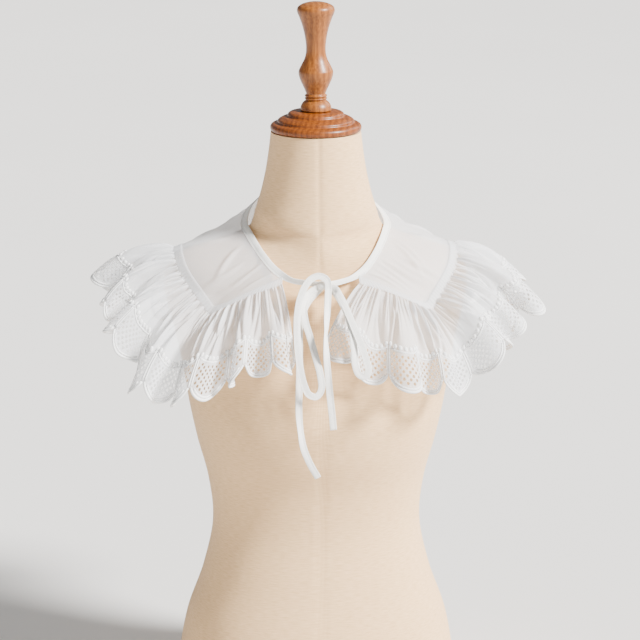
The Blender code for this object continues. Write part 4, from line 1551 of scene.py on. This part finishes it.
    def crease_depth(self, strip: np.ndarray, depth: np.ndarray) -> np.ndarray:
        """How far the long troughs sink the cloth, with a low ridge beside each.

        Args:
            strip: Places along the flat strip, in lobes.
            depth: Depths from the seam to the tips.

        Returns:
            One height for each, in metres.
        """
        total = np.zeros_like(strip)
        for lobe, lean, start, end, width, sink in self.creases:
            near = np.abs(strip - lobe) < 1.0
            share = np.clip((depth[near] - start) / (end - start), 0, 1)
            off = (strip[near] - lobe - lean * share) / width
            window = np.sin(math.pi * share) ** self.fade_power
            beside = np.exp(-((off - self.crease_ridge_off) / self.crease_ridge_width) ** 2)
            trough = self.crease_ridge * beside - np.exp(-off * off)
            total[near] += self.crease_scale * sink * window * trough
        return total

    def cup(self, strip: np.ndarray, depth: np.ndarray) -> np.ndarray:
        """How each lobe curls a little out or in towards its tip.

        Args:
            strip: Places along the flat strip, in lobes.
            depth: Depths from the seam to the tips.

        Returns:
            One height for each, in metres.
        """
        number = np.floor(strip)
        across = strip - number - 0.5
        return waves(LOBE_CUP, number) * soft_step(self.cup_start, 1.0, depth) * (1 - 5 * across * across)

    def surface(self, strip: np.ndarray, depth: np.ndarray) -> np.ndarray:
        """The folded cloth: strip is the place along the flat strip in lobes, depth runs from seam to tip.

        Args:
            strip: Places along the flat strip, in lobes.
            depth: Depths from the seam to the tips.

        Returns:
            Places in the frame.
        """
        grown = np.clip(depth, 0, None) ** (self.fold_fade_in + waves(FOLD_FADE, strip))
        lobe = strip + (np.interp(strip, self.fold_strip, self.fold_place) - strip) * grown
        fold = (np.interp(strip, self.fold_strip, self.fold_height) - self.fold_middle) * grown
        height = fold + self.gathers(strip, depth) + self.crease_depth(strip, depth) + self.cup(strip, depth)
        return self.fall_point(lobe, depth) + self.fall_normal(lobe, depth) * height[..., None]

    def place(self, flat: np.ndarray) -> np.ndarray:
        """From metres along the strip, down from the seam and out of the cloth, to the place in the frame.

        Args:
            flat: Rows of the three distances.

        Returns:
            Places in the frame.
        """
        strip, depth = flat[:, 0] / self.lobe_pitch, flat[:, 1] / self.strip_width
        points = self.surface(strip, depth)
        if np.abs(flat[:, 2]).max() > 0:
            step = self.probe
            along = self.surface(strip + step, depth) - self.surface(strip - step, depth)
            down = self.surface(strip, depth + step) - self.surface(strip, depth - step)
            points = points + unit(np.cross(along, down)) * flat[:, 2:3]
        return self.yoke.form.lifted(points, self.clear)

    def garland(self, across: np.ndarray) -> np.ndarray:
        """How far down the strip a lobe's top edge lies, this far from the lobe's middle."""
        share = across / (self.lobe_pitch / 2)
        return self.garland_cusp + (self.garland_dip - self.garland_cusp) * (1 - share * share)

    def is_hole(self, across: float, down: float) -> bool:
        """Whether an eyelet fits here, clear of the lobe's outline, its sides and the garland.

        Args:
            across: The eyelet's distance from the lobe's middle.
            down: Its distance from the seam.

        Returns:
            Whether it fits.
        """
        from_middle = math.hypot(across, down - (self.strip_width - self.radius))
        above_notch = down < self.strip_width - self.lobe_depth
        return ((above_notch or from_middle < self.radius - self.eyelet_arc_gap)
                and from_middle < self.radius + self.eyelet_corner_reach
                and abs(across) < self.lobe_pitch / 2 - self.eyelet_side_gap
                and down > float(self.garland(np.array(across))) + self.eyelet_garland_gap)

    def lace_cells(self) -> bmesh.types.BMesh:
        """One lobe's border: a net of eyelets cut to the lobe's round edge.

        Returns:
            The flat border, from the lobe's left side at X 0.
        """
        shape = cut_grid(self.cells, self.cells)
        cell = self.lobe_pitch / self.cells
        span = self.strip_width - self.lace_start
        size, corner = np.array([self.lobe_pitch, span, 1]), np.array([0, self.lace_start, 0])
        shift(shape, lambda flat: flat * size + corner)
        for edge in list(shape.edges):
            bmesh.utils.edge_split(edge, edge.verts[0], 0.5)
        top = self.lace_start + 0.1 * MM
        for edge in [edge for edge in shape.edges if max(vert.co.y for vert in edge.verts) < top]:
            bmesh.utils.edge_split(edge, edge.verts[0], 0.5)
        middle = self.lobe_pitch / 2
        holes = []
        for face in shape.faces:
            centre = face.calc_center_median()
            column = int(centre.x / cell)
            row = int((centre.y - self.lace_start) / cell)
            if (column + row) % 2 == 0 and self.is_hole(centre.x - middle, centre.y):
                holes.append(face)
        bmesh.ops.inset_individual(shape, faces=holes, thickness=0.2 * MM)
        rim = shape.verts.layers.float.new("rim")
        for face in holes:
            centre = face.calc_center_median()
            for vert in face.verts:
                vert.co = centre + (vert.co - centre).normalized() * self.hole / 2
                vert[rim] = 1.0
        bmesh.ops.delete(shape, geom=holes, context="FACES_ONLY")
        self.round_off(shape)
        bmesh.ops.poke(shape, faces=[face for face in shape.faces if len(face.verts) > 4])
        return shape

    def round_off(self, shape: bmesh.types.BMesh) -> None:
        """Cut the lower edge to the lobe's arc, one chord at a time.

        Args:
            shape: The flat border.
        """
        start = math.asin((self.radius - self.lobe_depth) / self.radius)
        angles = np.linspace(start, math.pi - start, self.arc_steps + 1)
        centre = Vector((self.lobe_pitch / 2, self.strip_width - self.radius, 0))
        for first, second in zip(angles, angles[1:]):
            middle = (first + second) / 2
            outward = Vector((math.cos(middle), math.sin(middle), 0))
            chord = centre + outward * self.radius * math.cos((second - first) / 2)
            everything = shape.verts[:] + shape.edges[:] + shape.faces[:]
            bmesh.ops.bisect_plane(shape, geom=everything, dist=0.002 * MM, plane_co=chord, plane_no=outward,
                                   clear_outer=True)

    def lobe_cloth(self) -> bmesh.types.BMesh:
        """One lobe of the strip from the seam to the tip.

        Returns:
            The flat lobe.
        """
        shape = cut_grid(self.cells * 4, self.voile_rows)
        span = self.lace_start - self.seam_start
        closer_at_seam = 1.2

        def spread(flat: np.ndarray) -> np.ndarray:
            """From shares of the lobe to metres, the rows closer at the seam."""
            down = self.seam_start + span * flat[:, 1] ** closer_at_seam
            return np.stack([flat[:, 0] * self.lobe_pitch, down, flat[:, 2]], axis=-1)

        shift(shape, spread)
        shape.verts.layers.float.new("rim")
        pour(self.lace_cells(), shape)
        return shape

    def repeat(self, shape: bmesh.types.BMesh, side: Side) -> None:
        """Lay a lobe's shape side by side along one half of the strip.

        Args:
            shape: One lobe's shape.
            side: The half.
        """
        first, last = side.value
        once = shape.verts[:] + shape.edges[:] + shape.faces[:]
        for number in range(first + 1, last):
            more = bmesh.ops.duplicate(shape, geom=once)["geom"]
            verts = [item for item in more if isinstance(item, bmesh.types.BMVert)]
            bmesh.ops.translate(shape, verts=verts, vec=((number - first) * self.lobe_pitch, 0, 0))
        bmesh.ops.translate(shape, verts=shape.verts, vec=(first * self.lobe_pitch, 0, 0))
        bmesh.ops.remove_doubles(shape, verts=shape.verts, dist=0.02 * MM)

    def keep_apart(self, flat: np.ndarray) -> np.ndarray:
        """Leave the small gap between the two halves at the centre back.

        Args:
            flat: Points of one half's flat pattern.

        Returns:
            The points, with the gap.
        """
        middle = Side.LEFT.value[1] * self.lobe_pitch
        gap = self.middle_gap / 2 * self.lobe_pitch / self.seam_pitch
        side = 1 if np.median(flat[:, 0]) > middle else -1
        moved = flat.copy()
        moved[np.abs(flat[:, 0] - middle) < 1 * MM, 0] = middle + side * gap
        return moved

    def density(self, flat: np.ndarray) -> np.ndarray:
        """How close the cloth is: 0 in sheer voile, more where it doubles, 1 in the embroidered border.

        Args:
            flat: Points of the flat pattern.

        Returns:
            One value for each.
        """
        across = flat[:, 0] / self.lobe_pitch % 1.0 - 0.5
        below = flat[:, 1] - self.garland(across * self.lobe_pitch)
        border = soft_step(self.border_start, self.border_end, below)
        strength, valley = self.fine_gathers(flat[:, 0] / self.lobe_pitch, flat[:, 1] / self.strip_width)
        doubled = self.doubled * np.clip(strength, 0, 1) * 4 * valley * (1 - valley)
        at_seam = self.seam_density * (1 - soft_step(0.0, self.seam_reach, flat[:, 1]))
        return np.maximum(border, doubled + at_seam)

    def build_cloth(self, side: Side, voile: bpy.types.Material) -> bpy.types.Object:
        """Half of the strip, with its eyelets cut through and their rims thicker than the cloth.

        Args:
            side: The half.
            voile: Its finish.

        Returns:
            The cloth.
        """
        shape = self.lobe_cloth()
        self.repeat(shape, side)
        flat = np.array([vert.co for vert in shape.verts])
        rim = shape.verts.layers.float["rim"]
        rims = [index for index, vert in enumerate(shape.verts) if vert[rim] > 0.5]
        cloth = drape(f"ruffle_cloth_{side.label}", shape, lambda points: self.place(self.keep_apart(points)))
        set_density(cloth, self.density(flat))
        cloth.vertex_groups.new(name="eyelet_rims").add(rims, 1.0, "REPLACE")
        give_wall(cloth, self.wall, "eyelet_rims", self.thin_share)
        dress(cloth, voile, Slot.LACE, f"ruffle_{side.label}")
        return cloth

    def lobe_arc(self, inset: float) -> np.ndarray:
        """Points along the lobe's outline, this far inside it.

        Args:
            inset: How far inside, in metres.

        Returns:
            Points of the flat pattern.
        """
        start = math.asin((self.radius - self.lobe_depth) / self.radius)
        reach = self.radius - inset
        notch = start + self.notch_cut * inset / self.radius
        angles = np.linspace(notch, math.pi - notch, self.arc_points)
        middle = np.array([self.lobe_pitch / 2, self.strip_width - self.radius])
        return middle + reach * np.stack([np.cos(angles), np.sin(angles)], axis=-1)

    def lobe_embroidery(self) -> bmesh.types.BMesh:
        """One lobe's satin stitch: its double outline, its sides, the garland and the row of dots.

        Returns:
            The flat embroidery.
        """
        shape = bmesh.new()
        flat_cord(shape, self.lobe_arc(self.rim_inset), self.rim_width, self.rim_height)
        flat_cord(shape, self.lobe_arc(self.second_rim_inset), self.second_rim_width, self.line_height)
        notch = self.strip_width - self.lobe_depth
        side_points, edge_points, edge_inset = 9, 17, 0.6 * MM
        down = np.linspace(self.garland_cusp + 2.0 * MM, notch - 0.5 * MM, side_points)
        sides = [np.stack([np.full(len(down), across), down], axis=-1)
                 for across in (self.line_inset, self.lobe_pitch - self.line_inset)]
        across = np.linspace(edge_inset, self.lobe_pitch - edge_inset, edge_points)
        edge = np.stack([across, self.garland(across - self.lobe_pitch / 2)], axis=-1)
        for line in (*sides, edge):
            flat_cord(shape, line, self.line_width, self.line_height)
        for number in range(self.dots_per_lobe):
            x = (number + 0.5) * self.lobe_pitch / self.dots_per_lobe
            y = float(self.garland(np.array(x - self.lobe_pitch / 2))) - self.dot / 2 - self.dot_gap
            add_pebble(shape, (x, y, 0.0), (self.dot, self.dot, self.dot_height), finer=2)
        return shape

    def build_embroidery(self, side: Side, thread: bpy.types.Material) -> bpy.types.Object:
        """The satin stitch of one half, on both sides of the cloth.

        Args:
            side: The half.
            thread: Its finish.

        Returns:
            The embroidery as one piece.
        """
        shape = self.lobe_embroidery()
        self.repeat(shape, side)
        stitched = drape(f"embroidery_{side.label}", shape, self.place)
        dress(stitched, thread, Slot.LACE)
        return stitched

    def build_edges(self, voile: bpy.types.Material) -> bpy.types.Object:
        """The narrow hems down the two front edges, and the seam that joins the halves at the back.

        Args:
            voile: Their finish.

        Returns:
            The three as one piece.
        """
        shape = bmesh.new()
        points = 48
        down = np.linspace(self.seam_start, self.strip_width - self.lobe_depth - 0.5 * MM, points)
        hem = self.hem_width / 2
        places = (hem, Side.LEFT.value[1] * self.lobe_pitch, Side.RIGHT.value[1] * self.lobe_pitch - hem)
        for across in places:
            line = np.stack([np.full(len(down), across), down], axis=-1)
            flat_cord(shape, line, self.hem_width, self.hem_height)
        edges = drape("ruffle_edges", shape, self.place)
        set_density(edges, self.hem_density)
        dress(edges, voile, Slot.LACE)
        return edges

    def flat_area(self) -> float:
        """The cut area of one half, less its scallops and eyelets, in square metres.

        Returns:
            The area.
        """
        angle = 2 * math.acos((self.radius - self.lobe_depth) / self.radius)
        segment = self.radius ** 2 / 2 * (angle - math.sin(angle))
        corners = self.lobe_pitch * self.lobe_depth - segment
        eyelets = self.eyelets_per_lobe * math.pi * self.hole ** 2 / 4
        return (self.lobe_pitch * self.strip_width - corners - eyelets) * Side.LEFT.value[1]

    def build(self, voile: bpy.types.Material, thread: bpy.types.Material) -> None:
        """Build the edges and both halves.

        Args:
            voile: The cloth's finish.
            thread: The embroidery's finish.
        """
        edges = self.build_edges(voile)
        for side in Side:
            cloth = self.build_cloth(side, voile)
            stitched = self.build_embroidery(side, thread)


@dataclass
class Bow:
    """The two ties, from the binding's ends to the knot, and the bow with its loops and ends."""

    ruffle: Ruffle
    width: float = 7.4 * MM
    wall: float = 1.2 * MM
    bridge_width: float = 6.0 * MM
    step: float = 5.0 * MM
    reach: float = 6.5 * MM
    smoothing: int = 6
    knot: tuple[float, float, float] = (1.0 * MM, -92.8 * MM, 503.6 * MM)
    knot_size: tuple[float, float, float] = (13.0 * MM, 9.6 * MM, 10.0 * MM)
    cloth: np.ndarray = field(init=False)

    def __post_init__(self) -> None:
        """Take points all over the ruffle's two front ends, which the ties lie on."""
        covered, samples = 4, 40
        ends = np.linspace(0, covered, covered * samples // 2)
        strip, depth = np.meshgrid(np.concatenate([ends, self.ruffle.yoke.lobes - ends]),
                                   np.linspace(0, 1, samples))
        strip, depth = strip.ravel(), depth.ravel()
        self.cloth = self.ruffle.surface(strip, depth)

    def route(self, knots: Sequence[TapeKnot]) -> tuple[np.ndarray, np.ndarray]:
        """Even points along a smooth curve through a route, in front of the ruffle, and their facing.

        Args:
            knots: The route.

        Returns:
            Points in metres and facings in radians.
        """
        rows = np.array(knots) * np.array([MM, MM, MM, 1, MM])
        lengths = run_lengths(rows[:, :3])
        count = max(int(math.ceil(lengths[-1] / self.step)), 2) + 1
        values = smooth_through(lengths, rows, np.linspace(0, lengths[-1], count))
        points = values[:, :3]
        for i, point in enumerate(points):
            near = np.hypot(self.cloth[:, 0] - point[0], self.cloth[:, 2] - point[2]) < self.reach
            if near.any():
                points[i, 1] = min(point[1], self.cloth[near, 1].min() - values[i, 4])
        for _ in range(self.smoothing):
            points[1:-1, 1] = np.minimum(points[1:-1, 1], eased(points[:, 1]))
        return points, np.radians(values[:, 3])

    def run(self, points: np.ndarray, face: np.ndarray, widths: np.ndarray, down: bool = False) -> TapeRun:
        """A tape along a line of points.

        Args:
            points: Its middle line.
            face: The way its flat side faces at each point, in radians.
            widths: Its width at each point.
            down: Whether its first edge is the lower one on its way to the knot's left side.

        Returns:
            The tape's run.
        """
        along = headings(points)
        front = squared(np.stack([np.sin(face), -np.cos(face), np.zeros_like(face)], axis=-1), along)
        side = np.cross(along, front) * (1 if down else -1)
        return TapeRun(points, side, front, widths, self.width, self.wall)

    def build_knot(self, tape: bpy.types.Material) -> bpy.types.Object:
        """The small tight knot: a rounded ball of tape with soft wraps round it.

        Args:
            tape: Its finish.

        Returns:
            The knot.
        """
        shape = bmesh.new()
        bmesh.ops.create_uvsphere(shape, u_segments=40, v_segments=24, radius=0.5)
        size, middle = np.array(self.knot_size), np.array(self.knot)
        depth, rate, twist = 0.05, 11, 5

        def place(flat: np.ndarray) -> np.ndarray:
            """From a ball of size 1 to the wrapped knot.

            Args:
                flat: Points on the ball.

            Returns:
                Places in the frame.
            """
            turn = rate * flat[:, 2] + twist * flat[:, 0]
            wraps = 1 + depth * np.cos(turn) * (1 - 2 * np.abs(flat[:, 2]))
            return middle + flat * size * wraps[:, None]

        knot = drape("bow_knot_tape", shape, place, flat_uv=lambda flat: flat[:, :2] * self.width)
        dress(knot, tape, Slot.TAPE, "bow_knot")
        return knot

    def ties(self) -> tuple[TapeRun, TapeRun]:
        """The two ties from the binding's ends into the knot, the left and then the right.

        Returns:
            Their runs.
        """
        runs = []
        for knots, down in ((BRIDGE_LEFT, True), (BRIDGE_RIGHT, False)):
            points, face = self.route(knots)
            points, face = np.vstack([points, self.knot]), np.append(face, 0.0)
            widths = np.full(len(points), self.bridge_width)
            widths[:2] = self.bridge_width + 1 * MM, self.bridge_width + 0.5 * MM
            runs.append(self.run(points, face, widths, down))
        return runs[0], runs[1]

    def build(self, tape: bpy.types.Material, thread: bpy.types.Material) -> None:
        """Args:
            tape: The tape's finish.
            thread: The stitches' finish.
        """
        knot = self.build_knot(tape)
        into = np.array(self.knot)
        loop, face = self.route(LOOP_LEFT)
        tail, tail_face = self.route(TAIL_RIGHT)
        self.add_cord("bow_tape_left_loop", np.vstack([into, loop[::-1], tail[1:]]),
                      np.concatenate([face[-1:], face[::-1], tail_face[1:]]), tape, thread,
                      ("bow_loop_left", "tie_end_right"))
        points, face = self.route(LOOP_RIGHT)
        self.add_cord("bow_tape_right_loop", np.vstack([into, points, into]),
                      np.concatenate([face[:1], face, face[-1:]]), tape, thread,
                      ("bow_loop_right",))
        points, face = self.route(TAIL_LEFT)
        self.add_cord("bow_tape_left_end", np.vstack([into, points]), np.concatenate([face[:1], face]),
                      tape, thread, ("tie_end_left",))

    def add_cord(self, name: str, points: np.ndarray, face: np.ndarray,
                 tape: bpy.types.Material, thread: bpy.types.Material, nodes: Sequence[str]) -> None:
        """Args:
            name: The piece's name.
            points: Its middle line.
            face: Its facing at each point.
            tape: The tape's finish.
            thread: The stitches' finish.
            nodes: The CAD nodes that it stands for.
        """
        run = self.run(points, face, np.full(len(points), self.width))
        body = run.build(name, tape, nodes)
        stitches = run.build_stitches(f"{name}_stitches", thread, (1, -1))


@dataclass
class Studio:
    """A wide pale floor, soft light from the right, and the camera."""

    floor_radius: float = 30.0
    floor_sides: int = 96
    room_colour: tuple[float, float, float, float] = (0.96, 0.98, 1.0, 1.0)
    room_strength: float = 0.38
    elevation: float = 15.0
    azimuth: float = -4.0
    distance: float = 2.6
    lens: float = 130.6
    sensor: float = 36.0
    target: tuple[float, float, float] = (0.0045, 0.0, 0.440)

    def add_light(self, light: Light) -> None:
        """Add a soft light that faces the collar.

        Args:
            light: The light.
        """
        lamp = bpy.data.lights.new(light.name, light.kind)
        if light.kind == "SUN":
            lamp.angle = light.size
        else:
            lamp.size = light.size
        lamp.energy = light.power
        lamp.color = light.colour
        body = bpy.data.objects.new(light.name, lamp)
        body.location = light.place
        towards = Vector(self.target) - Vector(light.place)
        body.rotation_euler = towards.to_track_quat("-Z", "Y").to_euler()
        bpy.context.scene.collection.objects.link(body)

    def build_camera(self) -> None:
        """The camera at the photograph's angle."""
        across, up = math.radians(self.azimuth), math.radians(self.elevation)
        back = Vector((math.sin(across) * math.cos(up), -math.cos(across) * math.cos(up), math.sin(up)))
        lens = bpy.data.cameras.new("camera")
        lens.lens = self.lens
        lens.sensor_width = self.sensor
        camera = bpy.data.objects.new("camera", lens)
        camera.location = Vector(self.target) + back * self.distance
        camera.rotation_euler = (-back).to_track_quat("-Z", "Y").to_euler()
        bpy.context.scene.collection.objects.link(camera)
        bpy.context.scene.camera = camera

    def build(self) -> None:
        """Build the floor and the lights."""
        shape = bmesh.new()
        bmesh.ops.create_circle(shape, cap_ends=True, segments=self.floor_sides, radius=self.floor_radius)
        floor = drape("studio_floor", shape, lambda flat: flat)
        floor.data.materials.append(PaintedFloor().make())
        for light in LIGHTS:
            self.add_light(light)
        world = bpy.data.worlds.new("soft_room")
        world.use_nodes = True
        set_inputs(world.node_tree.nodes["Background"], Color=self.room_colour, Strength=self.room_strength)
        bpy.context.scene.world = world


def main() -> None:
    """Build the camera, the bow, the collar, the form and the studio in order."""
    logging.basicConfig(level=logging.INFO, format="%(name)s: %(message)s")
    for body in list(bpy.data.objects):
        bpy.data.objects.remove(body, do_unlink=True)
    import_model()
    studio = Studio()
    studio.build_camera()
    form = DressForm()
    yoke = Yoke(form)
    ruffle = Ruffle(yoke)
    tape, thread, voile = TAPE.make(), SatinThread().make(), VOILE.make()
    bow = Bow(ruffle)
    bow.build(tape, thread)
    form.build()
    yoke.build(voile, tape, thread, bow.ties())
    ruffle.build(voile, thread)
    studio.build()


if __name__ == "__main__":
    main()
